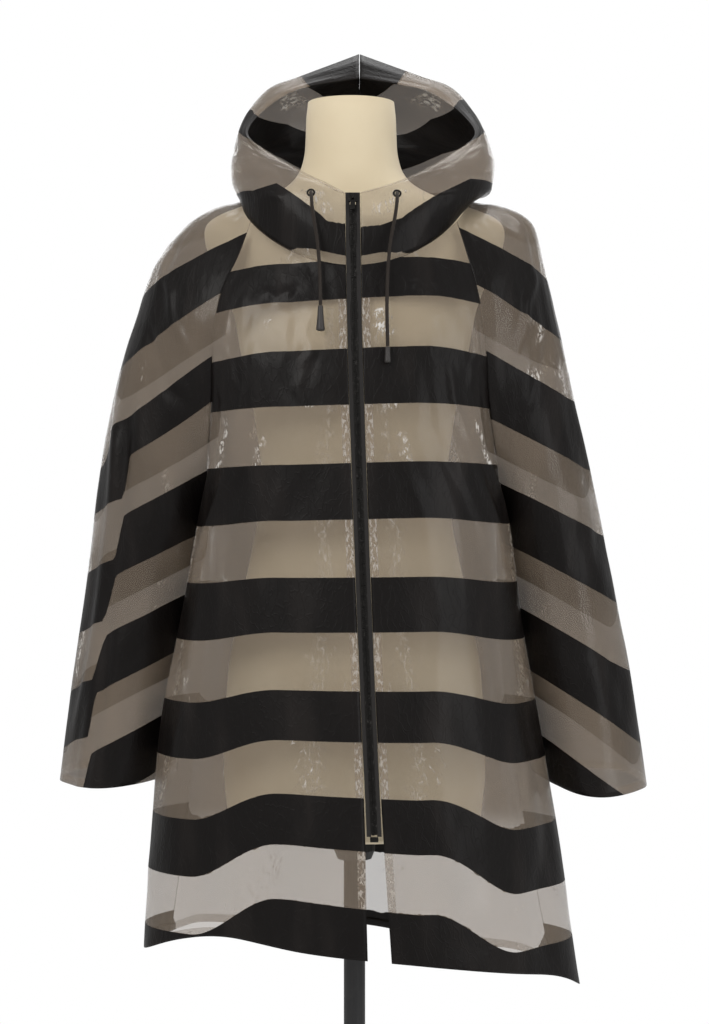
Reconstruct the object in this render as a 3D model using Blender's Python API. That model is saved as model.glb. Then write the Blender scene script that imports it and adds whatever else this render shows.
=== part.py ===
"""A hooded, zip-front raincoat standing open on a limbless dress form.

Metres, +Z up, the front faces -Y, the wearer's right is at -X and is called left here, as seen
from the front. The origin is on the floor, at the centre of the stand's base.
"""

import math

import bmesh
import bpy
import numpy as np
from mathutils import Vector

# ---- driving dimensions -------------------------------------------------------------------
CLOTH = 0.0012  # wall of each cloth piece
TRIM = 0.0008  # wall of casings, facings and turned hems
GAP = 0.0003  # clearance between touching pieces
SEAM_INSET = 0.00045  # each piece stops this far short of its seam line

ZIP_TOP = 1.413
ZIP_FOOT = 0.700
CHAIN_WIDTH = 0.0060
CHAIN_DEPTH = 0.0024
CENTRE_EDGE = 0.0085  # from the centre line to a front's zip edge
FACING_WIDTH = 0.0090
HEM_DEPTH = 0.010
ZIP_LEVELS = 3  # hood levels below the face opening

SLIDER_Z = 1.4065
SLIDER_WIDTH = 0.010
SLIDER_HEIGHT = 0.011
SLIDER_DEPTH = 0.0027
BAIL_ROOM_BEHIND = 0.0013  # from the pull's axis back to the slider's face
BAIL_FRONT = 0.0023
BAIL_BAR = 0.0012
BAIL_HALF_WIDTH = 0.0010
BAIL_HALF_HEIGHT = 0.0032
PULL_WIDTH = 0.0056
PULL_THICKNESS = 0.0012
PULL_LENGTH = 0.0160
PULL_ARM = 0.0013
PULL_HOLE_DEPTH = 0.0048
STOP_WIDTH = 0.0090
STOP_DEPTH = 0.0040
STOP_HEIGHT = 0.0055

CASING_DEPTH = 0.009
STRIP_ROWS = 24  # cross rows along the zip's strips
TILT_STEP = 0.004  # half the length over which a slope is read
SPOT_STEP = 0.01  # half the share of a panel over which its facing is read
SEAM_EASE = 6  # power that keeps the easing onto a seam close to its edge

CORD_DIAMETER = 0.0040
EYELET_RADIUS = 0.0050
EYELET_HOLE = 0.0028
EYELET_DEPTH = 0.0010
EYELET_LIP = 0.4  # share of the depth that the outer lip is turned over
CORD_POINT_SPACING = 2.2  # cord diameters between a cord's points
CORD_END_SHOULDER = 0.002
CORD_END_LIP = 0.004
CORD_END_TAPER = 0.8

BASE_RADIUS = 0.170
BASE_HEIGHT = 0.014
BASE_EDGE = 0.008
BASE_BEVEL = 0.006
POLE_RADIUS = 0.0125
COLLAR_RADIUS = 0.024
COLLAR_HEIGHT = 0.030
COLLAR_TAPER = 0.010
COLLAR_BEVEL = 0.004
FORM_FOOT = 0.680
FORM_SEGMENTS = 28

NECKLINE_HALF_WIDTH = 0.131
NECKLINE_CENTRE_Y = -0.018
NECKLINE_DEPTH = 0.096
NECKLINE_FRONT_Z = 1.330
NECKLINE_BACK_Z = 1.418
NECKLINE_SHOULDER_RISE = 0.039
FRONT_RAGLAN_ANGLE = math.radians(64)
BACK_RAGLAN_ANGLE = math.radians(122)

# the coat's centre front: height, sideways lean, depth, half the opening's width
CENTRE_FRONT = [
    # z, x, y, edge
    (0.567, 0.0275, -0.176, 0.0130),
    (0.630, 0.0245, -0.172, 0.0116),
    (0.694, 0.0218, -0.168, 0.0100),
    (0.704, 0.0214, -0.1673, 0.0085),
    (0.820, 0.0160, -0.160, 0.0085),
    (1.030, 0.0075, -0.147, 0.0085),
    (1.160, 0.0030, -0.140, 0.0085),
    (1.262, 0.0000, -0.131, 0.0085),
    (1.330, -0.0010, -0.114, 0.0085),
    (1.358, -0.0015, -0.1145, 0.0085),
    (1.388, -0.0018, -0.110, 0.0085),
    (1.420, -0.0022, -0.100, 0.0085),
]

# levels of the two fronts: height at the zip, then the seam edge, and how far the cloth turns
FRONT_LEVELS = [
    # centre_z, seam_z, left_x, right_x, seam_y, turn
    (1.302, 1.346, 0.1315, 0.1280, -0.078, 62),
    (1.262, 1.300, 0.1510, 0.1400, -0.088, 66),
    (1.215, 1.245, 0.1600, 0.1480, -0.088, 72),
    (1.160, 1.180, 0.1620, 0.1520, -0.076, 80),
    (1.100, 1.112, 0.1675, 0.1620, -0.050, 92),
    (1.030, 1.030, 0.1680, 0.1660, 0.005, 112),
    (0.930, 0.925, 0.1750, 0.1710, 0.030, 118),
    (0.820, 0.800, 0.1880, 0.1830, 0.038, 120),
    (0.694, 0.670, 0.2010, 0.2070, 0.040, 118),
    (0.630, 0.605, 0.2100, 0.2210, 0.040, 115),
    (0.567, 0.545, 0.2180, 0.2350, 0.040, 112),
]
UNDERARM_LEVEL = 5  # from here down both seams are one side seam

BACK_LEVELS = [
    # centre_z, centre_y, seam_z, left_x, right_x, seam_y, turn
    (1.385, 0.092, 1.362, 0.1350, 0.1320, 0.075, 60),
    (1.330, 0.105, 1.310, 0.1500, 0.1420, 0.090, 62),
    (1.270, 0.110, 1.250, 0.1580, 0.1480, 0.095, 64),
    (1.190, 0.110, 1.180, 0.1610, 0.1520, 0.090, 68),
    (1.110, 0.112, 1.112, 0.1660, 0.1600, 0.065, 75),
    (1.030, 0.117, 1.030, 0.1680, 0.1660, 0.005, 85),
    (0.925, 0.125, 0.925, 0.1750, 0.1710, 0.030, 85),
    (0.800, 0.135, 0.800, 0.1880, 0.1830, 0.038, 84),
    (0.672, 0.145, 0.670, 0.2010, 0.2070, 0.040, 82),
    (0.606, 0.150, 0.605, 0.2100, 0.2210, 0.040, 82),
    (0.540, 0.155, 0.545, 0.2180, 0.2350, 0.040, 82),
]

# sleeve levels: the over-arm line, how far the cloth stands before and behind it, how far it
# turns towards each seam, and how far the inner edge stands off the body's seam
SLEEVE_LEVELS = [
    # left_x, left_z, right_x, right_z, y, front, back, front_turn, back_turn, ease
    (0.1650, 1.4085, 0.1680, 1.4125, 0.005, 0.078, 0.070, 75, 75, 0.0000),
    (0.2000, 1.3860, 0.2070, 1.3930, 0.008, 0.092, 0.084, 80, 80, 0.0000),
    (0.2335, 1.3430, 0.2220, 1.3430, 0.010, 0.098, 0.092, 85, 85, 0.0002),
    (0.2555, 1.2830, 0.2380, 1.2770, 0.012, 0.096, 0.096, 95, 95, 0.0006),
    (0.2790, 1.2050, 0.2545, 1.2000, 0.015, 0.086, 0.096, 120, 115, 0.0018),
    (0.2985, 1.1100, 0.2755, 1.1050, 0.020, 0.080, 0.094, 160, 160, 0.0035),
    (0.3175, 0.9650, 0.3060, 0.9650, 0.030, 0.078, 0.092, 180, 180, 0.0125),
    (0.3350, 0.8530, 0.3280, 0.8500, 0.036, 0.085, 0.092, 180, 180, 0.0180),
    (0.3500, 0.7380, 0.3463, 0.7330, 0.040, 0.092, 0.092, 180, 180, 0.0200),
]
SLEEVE_INNER = [
    # y, z of the inner edge at the levels below the underarm
    (0.048, 0.925),
    (0.060, 0.838),
    (0.068, 0.745),
]

# hood levels: the front edge, which runs up the zip and then round the face opening, the
# widest place at the side, the centre seam behind, and how far the cloth turns in front
HOOD_LEVELS = [
    # edge_x, edge_y, edge_z, side_x, side_y, side_z, back_y, back_z, turn
    (0.0085, -0.1145, 1.358, 0.154, -0.015, 1.424, 0.094, 1.430, 90),
    (0.0085, -0.1100, 1.388, 0.1585, -0.012, 1.437, 0.108, 1.446, 90),
    (0.0085, -0.1022, 1.413, 0.159, -0.010, 1.451, 0.118, 1.462, 90),
    (0.0395, -0.0920, 1.4256, 0.158, -0.006, 1.463, 0.125, 1.478, 86),
    (0.0660, -0.0800, 1.439, 0.155, 0.000, 1.474, 0.130, 1.492, 82),
    (0.1030, -0.0550, 1.463, 0.152, 0.008, 1.486, 0.134, 1.506, 76),
    (0.1330, -0.0250, 1.491, 0.147, 0.018, 1.501, 0.135, 1.520, 70),
    (0.1200, 0.0020, 1.520, 0.134, 0.034, 1.529, 0.134, 1.534, 60),
    (0.0900, 0.0140, 1.545, 0.109, 0.046, 1.559, 0.131, 1.547, 50),
    (0.0620, 0.0180, 1.556, 0.074, 0.056, 1.574, 0.127, 1.558, 45),
    (0.0006, 0.0200, 1.566, 0.0006, 0.070, 1.604, 0.122, 1.568, 45),
]
HOOD_LEFT_SCALE = 0.90  # the left side stands narrower at its foot
HOOD_LEFT_SPREAD = 0.08  # and is this much wider again round the face opening
HOOD_LIFT = 0.0032  # the hood's seam edge stands this far above the neckline
HOOD_SHIFT_X = 0.006  # the hood stands this far to the right above the neckline
HOOD_SHIFT_LEVELS = 5
HOOD_SPREAD_LEVELS = 7

# soft folds that grow towards the hem; depth is outward, and drop lowers the foot there
FRONT_FOLDS = {
    # place, spread, top, depth, drop
    "left": [(0.74, 0.15, 0.45, 0.008, 0.014), (0.36, 0.17, 0.55, -0.010, -0.010)],
    "right": [(0.80, 0.14, 0.45, 0.012, 0.014), (0.52, 0.13, 0.60, -0.007, 0.0)],
}
BACK_FOLDS = [
    (0.16, 0.07, 0.35, 0.012, 0.0),
    (0.33, 0.07, 0.45, -0.010, 0.0),
    (0.50, 0.08, 0.30, 0.014, 0.0),
    (0.68, 0.07, 0.45, -0.010, 0.0),
    (0.84, 0.07, 0.35, 0.012, 0.0),
]
SLEEVE_FOLDS = {
    "left": [
        (0.26, 0.12, 0.60, 0.0, 0.004),
        (0.40, 0.05, 0.55, -0.010, 0.0),
        (0.62, 0.06, 0.45, 0.010, 0.0),
        (0.80, 0.05, 0.50, -0.008, 0.0),
    ],
    "right": [
        (0.24, 0.12, 0.60, 0.004, 0.012),
        (0.66, 0.06, 0.45, 0.010, 0.0),
        (0.82, 0.05, 0.50, -0.008, 0.0),
    ],
}
HEM_SKEW_TOP = 0.70  # below this share of the coat the right side hangs lower than the left
HEM_SKEW = 0.021
HEM_SAG = 0.009
HEM_HALF_WIDTH = 0.24

# rings of the dress form from its foot to its neck
FORM_RINGS = [
    # z, half_width, half_depth, centre_y
    (0.680, 0.140, 0.098, 0.004),
    (0.686, 0.147, 0.105, 0.004),
    (0.740, 0.153, 0.113, 0.004),
    (0.800, 0.154, 0.116, 0.003),
    (0.880, 0.147, 0.110, 0.000),
    (0.960, 0.131, 0.098, -0.003),
    (1.040, 0.114, 0.086, -0.005),
    (1.110, 0.109, 0.083, -0.006),
    (1.180, 0.119, 0.094, -0.009),
    (1.240, 0.133, 0.110, -0.011),
    (1.285, 0.141, 0.110, -0.007),
    (1.325, 0.155, 0.100, -0.001),
    (1.355, 0.172, 0.088, 0.002),
    (1.3818, 0.178, 0.077, 0.003),
    (1.3958, 0.173, 0.068, 0.003),
    (1.4043, 0.160, 0.061, 0.003),
    (1.4103, 0.137, 0.057, 0.003),
    (1.4178, 0.108, 0.055, 0.002),
    (1.4292, 0.082, 0.053, 0.001),
    (1.444, 0.063, 0.051, 0.000),
    (1.470, 0.0545, 0.050, 0.000),
    (1.525, 0.0525, 0.050, 0.000),
    (1.533, 0.0500, 0.0475, 0.000),
]
FORM_NECK_LEAN = -0.004  # the neck stands this far to the left
FORM_NECK_FOOT = 1.400
FORM_NECK_EASE = 0.040

CORD_ROUTES = {
    # x, y, z of the route's own points, from the eyelet to the end piece
    "left": [
        (-0.0489, -0.1042, 1.4127),
        (-0.0487, -0.1105, 1.4122),
        (-0.0481, -0.1162, 1.4075),
        (-0.0476, -0.1196, 1.3990),
        (-0.0455, -0.1222, 1.3830),
        (-0.0412, -0.1238, 1.3550),
        (-0.0388, -0.1258, 1.3250),
        (-0.0378, -0.1322, 1.3020),
        (-0.0376, -0.1382, 1.2920),
        (-0.0376, -0.1387, 1.2835),
    ],
    "right": [
        (0.0479, -0.1049, 1.4117),
        (0.0479, -0.1108, 1.4112),
        (0.0477, -0.1162, 1.4075),
        (0.0472, -0.1196, 1.3990),
        (0.0450, -0.1222, 1.3830),
        (0.0400, -0.1238, 1.3550),
        (0.0370, -0.1262, 1.3200),
        (0.0360, -0.1330, 1.2900),
        (0.0361, -0.1384, 1.2620),
        (0.0365, -0.1408, 1.2460),
        (0.0366, -0.1410, 1.2380),
    ],
}
CORD_END_SIZES = {"left": (0.0030, 0.0048, 0.028), "right": (0.0029, 0.0036, 0.018)}
EYELET_PLACES = {"left": (0.094, 0.222), "right": (0.086, 0.222)}  # across and up the hood

SIDES = {"left": -1, "right": 1}


# ---- helpers --------------------------------------------------------------------------------
def clear_scene():
    for thing in list(bpy.data.objects):
        bpy.data.objects.remove(thing)


def material(name, colour, roughness, metallic=0.0):
    made = bpy.data.materials.new(name)
    made.use_nodes = True
    shader = made.node_tree.nodes["Principled BSDF"]
    shader.inputs["Base Color"].default_value = (*colour, 1.0)
    shader.inputs["Roughness"].default_value = roughness
    shader.inputs["Metallic"].default_value = metallic
    return made


def link(name, mesh, made_of):
    thing = bpy.data.objects.new(name, mesh)
    thing.data.materials.append(made_of)
    bpy.context.scene.collection.objects.link(thing)
    return thing


def smooth(knots, values, at):
    """Values read between knots along one smooth curve; knots rise."""
    knots = np.asarray(knots, float)
    values = np.asarray(values, float)
    at = np.asarray(at, float)
    slopes = np.gradient(values, knots, axis=0)
    i = np.clip(np.searchsorted(knots, at, side="right") - 1, 0, len(knots) - 2)
    span = knots[i + 1] - knots[i]
    t = (at - knots[i]) / span
    shape = (-1,) + (1,) * (values.ndim - 1)
    t = t.reshape(shape)
    span = span.reshape(shape)
    start = (1 + 2 * t) * (1 - t) ** 2 * values[i] + t * (1 - t) ** 2 * span * slopes[i]
    end = t * t * (3 - 2 * t) * values[i + 1] + t * t * (t - 1) * span * slopes[i + 1]
    return start + end


def centre_front(z):
    """x, y and half the opening's width at these heights of the centre front."""
    table = np.array(CENTRE_FRONT)
    found = smooth(table[:, 0], table[:, 1:], np.atleast_1d(z))
    found[:, 2] = np.interp(np.atleast_1d(z), table[:, 0], table[:, 3])
    return found


def arc(widest, end, turn, t):
    """An elliptical arc from its widest place, where it runs along Y, to its end."""
    alpha = turn * t
    across = (1 - np.cos(alpha)) / (1 - math.cos(turn))
    along = np.sin(alpha) / math.sin(turn)
    x = widest[0] + (end[0] - widest[0]) * across
    y = widest[1] + (end[1] - widest[1]) * along
    z = widest[2] + (end[2] - widest[2]) * across
    return np.stack([x, y, z], 1)


def panel_arc(centre, seam, turn, t):
    """A row of a front or back: flat across at its centre, turning towards its seam."""
    alpha = turn * t
    across = np.sin(alpha) / math.sin(turn)
    along = (1 - np.cos(alpha)) / (1 - math.cos(turn))
    x = centre[0] + (seam[0] - centre[0]) * across
    y = centre[1] + (seam[1] - centre[1]) * along
    z = centre[2] + (seam[2] - centre[2]) * t * t
    return np.stack([x, y, z], 1)


def loop_arc(outer, inner, depth, turn, t):
    """Half a sleeve's row, from the over-arm line round to the seam."""
    alpha = turn * t
    reach = inner[1] - outer[1] - depth * math.sin(turn)
    x = outer[0] + (inner[0] - outer[0]) * (1 - np.cos(alpha)) / (1 - math.cos(turn))
    y = outer[1] + depth * np.sin(alpha) + reach * t * t
    z = outer[2] + (inner[2] - outer[2]) * (1 - np.cos(alpha)) / (1 - math.cos(turn))
    return np.stack([x, y, z], 1)


def neckline(angle, side):
    """The seam between coat and hood; angle 0 is the centre front and pi the centre back."""
    angle = np.atleast_1d(angle)
    lean = centre_front(NECKLINE_FRONT_Z)[0, 0] * (1 + np.cos(angle)) / 2
    x = lean + side * NECKLINE_HALF_WIDTH * np.sin(angle)
    y = NECKLINE_CENTRE_Y - NECKLINE_DEPTH * np.cos(angle)
    rise = (NECKLINE_BACK_Z - NECKLINE_FRONT_Z) * (1 - np.cos(angle)) / 2
    z = NECKLINE_FRONT_Z + rise + NECKLINE_SHOULDER_RISE * np.sin(angle) ** 2
    return np.stack([x, y, z], 1)


def loft(curves, us, vs):
    """Points on a smooth surface through row curves, as an array of rows and columns."""
    rows = np.stack([curve(us) for curve in curves])
    return smooth(np.linspace(0, 1, len(curves)), rows, vs)


def seam_line(points, vs, split=UNDERARM_LEVEL + 1):
    """A seam through level points: smooth down to its corner, and smooth again past it."""
    knots = np.linspace(0, 1, len(points))
    upper = smooth(knots[: split + 1], points[: split + 1], vs)
    lower = smooth(knots[split:], points[split:], vs)
    return np.where((vs <= knots[split])[:, None], upper, lower)


def meet(points, us, edge, line):
    """Eases a grid's first or last column onto a seam line."""
    weight = us**SEAM_EASE if edge else (1 - us) ** SEAM_EASE
    return points + (line - points[:, edge])[:, None, :] * weight[None, :, None]


def lifted(points, distance):
    """A grid moved along its own normals; sides of the body are mirrored, so the sign varies."""
    down = np.gradient(points, axis=0)
    along = np.gradient(points, axis=1)
    normal = np.cross(along, down)
    return points + distance * normal / np.linalg.norm(normal, axis=2, keepdims=True)


def add_folds(points, us, vs, folds, sign):
    """Moves a grid of points in and out along its own normals, more towards its foot."""
    push = np.zeros((len(vs), len(us)))
    fall = np.zeros((len(vs), len(us)))
    for place, spread, top, depth, drop in folds:
        crest = growth(vs, top)[:, None] * np.exp(-(((us - place) / spread) ** 2))[None, :]
        push += depth * crest
        fall += drop * crest
    moved = lifted(points, sign * push[:, :, None])
    moved[:, :, 2] -= fall
    return moved


def growth(vs, top):
    """0 above a level, rising softly to 1 at the foot."""
    rise = np.clip((vs - top) / (1 - top), 0, 1)
    return rise * rise * (3 - 2 * rise)


def skew_hem(points, vs):
    """Lets the foot of the coat hang lower on its right than on its left."""
    share = points[:, :, 0] / HEM_HALF_WIDTH
    fall = (HEM_SKEW * share + HEM_SAG * share * share) * growth(vs, HEM_SKEW_TOP)[:, None]
    return points - np.stack([np.zeros_like(fall), np.zeros_like(fall), fall], 2)


# ---- the coat's surfaces --------------------------------------------------------------------
def seam_x(side, left_x, right_x):
    return side * (left_x if side < 0 else right_x)


def front_seam(level, side):
    _, seam_z, left_x, right_x, seam_y, _ = FRONT_LEVELS[level]
    return np.array([seam_x(side, left_x, right_x), seam_y, seam_z])


def back_seam(level, side):
    _, _, seam_z, left_x, right_x, seam_y, _ = BACK_LEVELS[level]
    return np.array([seam_x(side, left_x, right_x), seam_y, seam_z])


def front_seam_line(side, vs):
    levels = [front_seam(level, side) for level in range(len(FRONT_LEVELS))]
    return seam_line([neckline(FRONT_RAGLAN_ANGLE, side)[0], *levels], vs)


def back_seam_line(side, vs):
    levels = [back_seam(level, side) for level in range(len(BACK_LEVELS))]
    return seam_line([neckline(BACK_RAGLAN_ANGLE, side)[0], *levels], vs)


def front_points(side, us, vs):
    """The front from its zip edge (u 0) to its seam (u 1), neck seam (v 0) to hem (v 1)."""

    def top(t):
        edge = CENTRE_EDGE / NECKLINE_HALF_WIDTH
        return neckline(edge + (FRONT_RAGLAN_ANGLE - edge) * t, side)

    def row(level):
        centre_z, _, _, _, _, turn = FRONT_LEVELS[level]
        x, y, edge = centre_front(centre_z)[0]
        centre = (x + side * edge, y, centre_z)
        seam = front_seam(level, side)
        return lambda t: panel_arc(centre, seam, math.radians(turn), t)

    curves = [top] + [row(level) for level in range(len(FRONT_LEVELS))]
    points = loft(curves, us, vs)
    points = add_folds(points, us, vs, FRONT_FOLDS["left" if side < 0 else "right"], -side)
    return skew_hem(meet(points, us, -1, front_seam_line(side, vs)), vs)


def back_points(us, vs):
    """The back from its left seam (u 0) to its right seam (u 1), neck seam to hem."""

    def top(t):
        left = neckline(BACK_RAGLAN_ANGLE + (math.pi - BACK_RAGLAN_ANGLE) * 2 * t[t < 0.5], -1)
        right = neckline(BACK_RAGLAN_ANGLE + (math.pi - BACK_RAGLAN_ANGLE) * 2 * (1 - t[t >= 0.5]), 1)
        return np.concatenate([left, right])

    def row(level):
        centre_z, centre_y, _, _, _, _, turn = BACK_LEVELS[level]
        centre = (0.0, centre_y, centre_z)

        def curve(t):
            turned = math.radians(turn)
            left = panel_arc(centre, back_seam(level, -1), turned, 1 - 2 * t[t < 0.5])
            right = panel_arc(centre, back_seam(level, 1), turned, 2 * t[t >= 0.5] - 1)
            return np.concatenate([left, right])

        return curve

    curves = [top] + [row(level) for level in range(len(BACK_LEVELS))]
    points = loft(curves, us, vs)
    points = add_folds(points, us, vs, BACK_FOLDS, 1)
    points = meet(points, us, 0, back_seam_line(-1, vs))
    return skew_hem(meet(points, us, -1, back_seam_line(1, vs)), vs)


def sleeve_ends(level, side):
    """Where a sleeve's row meets its front and back seams, which are one below the underarm."""
    ease = SLEEVE_LEVELS[level][-1]
    if level <= UNDERARM_LEVEL:
        ends = [front_seam(level, side), back_seam(level, side)]
    else:
        inner_y, inner_z = SLEEVE_INNER[level - UNDERARM_LEVEL - 1]
        heights = [row[1] for row in FRONT_LEVELS][::-1]
        widths = [row[2 if side < 0 else 3] for row in FRONT_LEVELS][::-1]
        ends = [np.array([side * np.interp(inner_z, heights, widths), inner_y, inner_z])] * 2
    return [end + (side * ease, 0, 0) for end in ends]


def sleeve_points(side, us, vs):
    """The sleeve from its front seam (u 0) over the arm to its back seam (u 1)."""

    def top(t):
        span = BACK_RAGLAN_ANGLE - FRONT_RAGLAN_ANGLE
        return neckline(FRONT_RAGLAN_ANGLE + span * t, side)

    def row(level):
        left_x, left_z, right_x, right_z, y, front, back, *turns, _ = SLEEVE_LEVELS[level]
        outer = np.array([seam_x(side, left_x, right_x), y, left_z if side < 0 else right_z])
        ends = sleeve_ends(level, side)

        def curve(t):
            front_half = t < 0.5
            front_turn, back_turn = (math.radians(turn) for turn in turns)
            near = loop_arc(outer, ends[0], -front, front_turn, 1 - 2 * t[front_half])
            far = loop_arc(outer, ends[1], back, back_turn, 2 * t[~front_half] - 1)
            return np.concatenate([near, far])

        return curve

    curves = [top] + [row(level) for level in range(len(SLEEVE_LEVELS))]
    points = loft(curves, us, vs)
    points = add_folds(points, us, vs, SLEEVE_FOLDS["left" if side < 0 else "right"], -side)
    for edge, angle in enumerate([FRONT_RAGLAN_ANGLE, BACK_RAGLAN_ANGLE]):
        levels = [sleeve_ends(level, side)[edge] for level in range(len(SLEEVE_LEVELS))]
        line = seam_line([neckline(angle, side)[0], *levels], vs)
        points = meet(points, us, -edge, line)
    return points


def hood_points(side, us, vs):
    """One side of the hood from its front edge (u 0) to the centre seam (u 1)."""

    def base(t):
        edge = CENTRE_EDGE / NECKLINE_HALF_WIDTH
        seam = math.pi - GAP / NECKLINE_HALF_WIDTH
        return neckline(edge + (seam - edge) * t, side) + (0, 0, HOOD_LIFT)

    def row(level):
        edge_x, edge_y, edge_z, side_x, side_y, side_z, back_y, back_z, turn = HOOD_LEVELS[level]
        on_zip = edge_x == CENTRE_EDGE
        shift = HOOD_SHIFT_X * min(1.0, (level + 1) / HOOD_SHIFT_LEVELS)
        spread = HOOD_LEFT_SPREAD * min(1.0, level / HOOD_SPREAD_LEVELS)
        scale = HOOD_LEFT_SCALE + spread if side < 0 else 1.0
        lean = centre_front(edge_z)[0, 0] if on_zip else shift
        reach = 1.0 if on_zip else scale
        edge = (lean + side * edge_x * reach, edge_y, edge_z)
        widest = (shift + side * side_x * scale, side_y, side_z)
        back = (shift + side * GAP, back_y, back_z)

        def curve(t):
            near = arc(widest, edge, math.radians(turn), 1 - 2 * t[t < 0.5])
            far = arc(widest, back, math.radians(90), 2 * t[t >= 0.5] - 1)
            return np.concatenate([near, far])

        return curve

    curves = [base] + [row(level) for level in range(len(HOOD_LEVELS))]
    points = loft(curves, us, vs)
    edges = [curve(np.zeros(1))[0] for curve in curves]
    return meet(points, us, 0, seam_line(edges, vs, ZIP_LEVELS))


# ---- cloth pieces ---------------------------------------------------------------------------
def draw_back(points, rows, columns, inset=SEAM_INSET):
    """Pulls chosen edges of a grid back along the cloth, so that pieces stop short of a seam."""
    moved = points.copy()
    for edge, inner in [(0, 1), (-1, -2)]:
        if edge in rows:
            step = points[inner] - points[edge]
            moved[edge] += inset * step / np.linalg.norm(step, axis=1, keepdims=True)
        if edge in columns:
            step = points[:, inner] - points[:, edge]
            moved[:, edge] += inset * step / np.linalg.norm(step, axis=1, keepdims=True)
    return moved


def sheet(name, points, thickness, made_of):
    """A grid of points made into a closed wall, half of it on each side of the grid."""
    row_count, column_count, _ = points.shape
    work = bmesh.new()
    bmesh.ops.create_grid(work, x_segments=column_count - 1, y_segments=row_count - 1, size=1.0)
    work.verts.ensure_lookup_table()
    for index, vert in enumerate(work.verts):
        vert.co = points[index // column_count, index % column_count]
    mesh = bpy.data.meshes.new(name)
    work.to_mesh(mesh)
    work.free()
    mesh.shade_smooth()
    thing = link(name, mesh, made_of)
    wall = thing.modifiers.new("Wall", "SOLIDIFY")
    wall.thickness = thickness
    wall.offset = 0.0
    wall.use_even_offset = False
    return thing


def edge_band(points, near, far, count):
    """A strip beside a grid's first column, from near to far along the cloth."""
    found = []
    for row in points:
        length = np.concatenate([[0], np.cumsum(np.linalg.norm(np.diff(row, axis=0), axis=1))])
        spots = np.linspace(near, far, count)
        found.append(np.stack([np.interp(spots, length, row[:, axis]) for axis in range(3)], 1))
    return np.stack(found)


def turned_profile(name, profile, made_of, segments, x=0.0, y=0.0):
    """A solid turned about a vertical axis from (radius, height) pairs, closed at both ends."""
    work = bmesh.new()
    verts = [work.verts.new((radius, 0.0, height)) for radius, height in profile]
    edges = [work.edges.new(pair) for pair in zip(verts, verts[1:])]
    bmesh.ops.spin(
        work, geom=verts + edges, axis=(0, 0, 1), cent=(0, 0, 0), angle=math.tau,
        steps=segments, use_merge=True, use_duplicate=False,
    )
    bmesh.ops.remove_doubles(work, verts=work.verts, dist=0.00001)
    bmesh.ops.recalc_face_normals(work, faces=work.faces)
    mesh = bpy.data.meshes.new(name)
    work.to_mesh(mesh)
    work.free()
    mesh.shade_smooth()
    mesh.set_sharp_from_angle(angle=math.radians(35))
    thing = link(name, mesh, made_of)
    thing.location = (x, y, 0.0)
    return thing


FRONT_GRID = (np.linspace(0, 1, 11), np.linspace(0, 1, 23))
BACK_GRID = (np.linspace(0, 1, 19), np.linspace(0, 1, 23))
SLEEVE_GRID = (np.linspace(0, 1, 21), np.linspace(0, 1, 19))
HOOD_GRID = (np.linspace(0, 1, 13), np.linspace(0, 1, 23))


def make_fronts(film):
    for name, side in SIDES.items():
        points = front_points(side, *FRONT_GRID)
        sheet(f"front_{name}", draw_back(points, [0], [-1]), CLOTH, film)


def make_back(film):
    points = back_points(*BACK_GRID)
    sheet("back", draw_back(points, [0], [0, -1]), CLOTH, film)


def make_sleeves(film):
    for name, side in SIDES.items():
        points = sleeve_points(side, *SLEEVE_GRID)
        sheet(f"sleeve_{name}", draw_back(points, [0], [0, -1], 2 * SEAM_INSET), CLOTH, film)


def make_hood(film):
    for name, side in SIDES.items():
        points = hood_points(side, *HOOD_GRID)
        sheet(f"hood_{name}", draw_back(points, [0, -1], [-1]), CLOTH, film)


# ---- doubled strips: each lies on its panel's own points, moved to the inside ---------------
INSIDE = CLOTH / 2 + GAP + TRIM / 2


def make_facings(film):
    for name, side in SIDES.items():
        points = lifted(front_points(side, *FRONT_GRID), side * INSIDE)
        strip = edge_band(points, GAP, FACING_WIDTH, 2)
        sheet(f"facing_{name}", draw_back(strip, [0], [], TRIM), TRIM, film)


def make_casings(film):
    for name, side in SIDES.items():
        points = lifted(hood_points(side, *HOOD_GRID), -side * (INSIDE + GAP))
        rim = points[2 * ZIP_LEVELS :]
        strip = draw_back(edge_band(rim, GAP, CASING_DEPTH, 2), [0, -1], [], 2 * TRIM)
        sheet(f"casing_{name}", strip, TRIM, film)


def foot_band(points, sign):
    """The turned hem inside a panel's foot, as rows across the panel."""
    inside = lifted(points, sign * INSIDE)[::-1].transpose(1, 0, 2)
    return edge_band(inside, GAP, HEM_DEPTH, 2)


def make_hems(film):
    for name, side in SIDES.items():
        strip = foot_band(front_points(side, *FRONT_GRID), side)
        beside_facing = draw_back(strip, [0], [], FACING_WIDTH + GAP)
        sheet(f"hem_{name}", draw_back(beside_facing, [-1], []), TRIM, film)
        strip = foot_band(sleeve_points(side, *SLEEVE_GRID), side)
        sheet(f"cuff_{name}", draw_back(strip, [0, -1], [], 2 * SEAM_INSET), TRIM, film)
    strip = foot_band(back_points(*BACK_GRID), -1)
    sheet("hem_back", draw_back(strip, [0, -1], []), TRIM, film)


# ---- zip ------------------------------------------------------------------------------------
def zip_strip(name, start, end, foot, top, thickness, made_of):
    """A strip that follows the centre front; start and end are offsets across it."""
    heights = np.linspace(foot, top, STRIP_ROWS)
    centre = centre_front(heights)
    first = np.stack([centre[:, 0] + start, centre[:, 1], heights], 1)
    last = np.stack([centre[:, 0] + end, centre[:, 1], heights], 1)
    return sheet(name, np.stack([first, last], 1), thickness, made_of)


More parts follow.
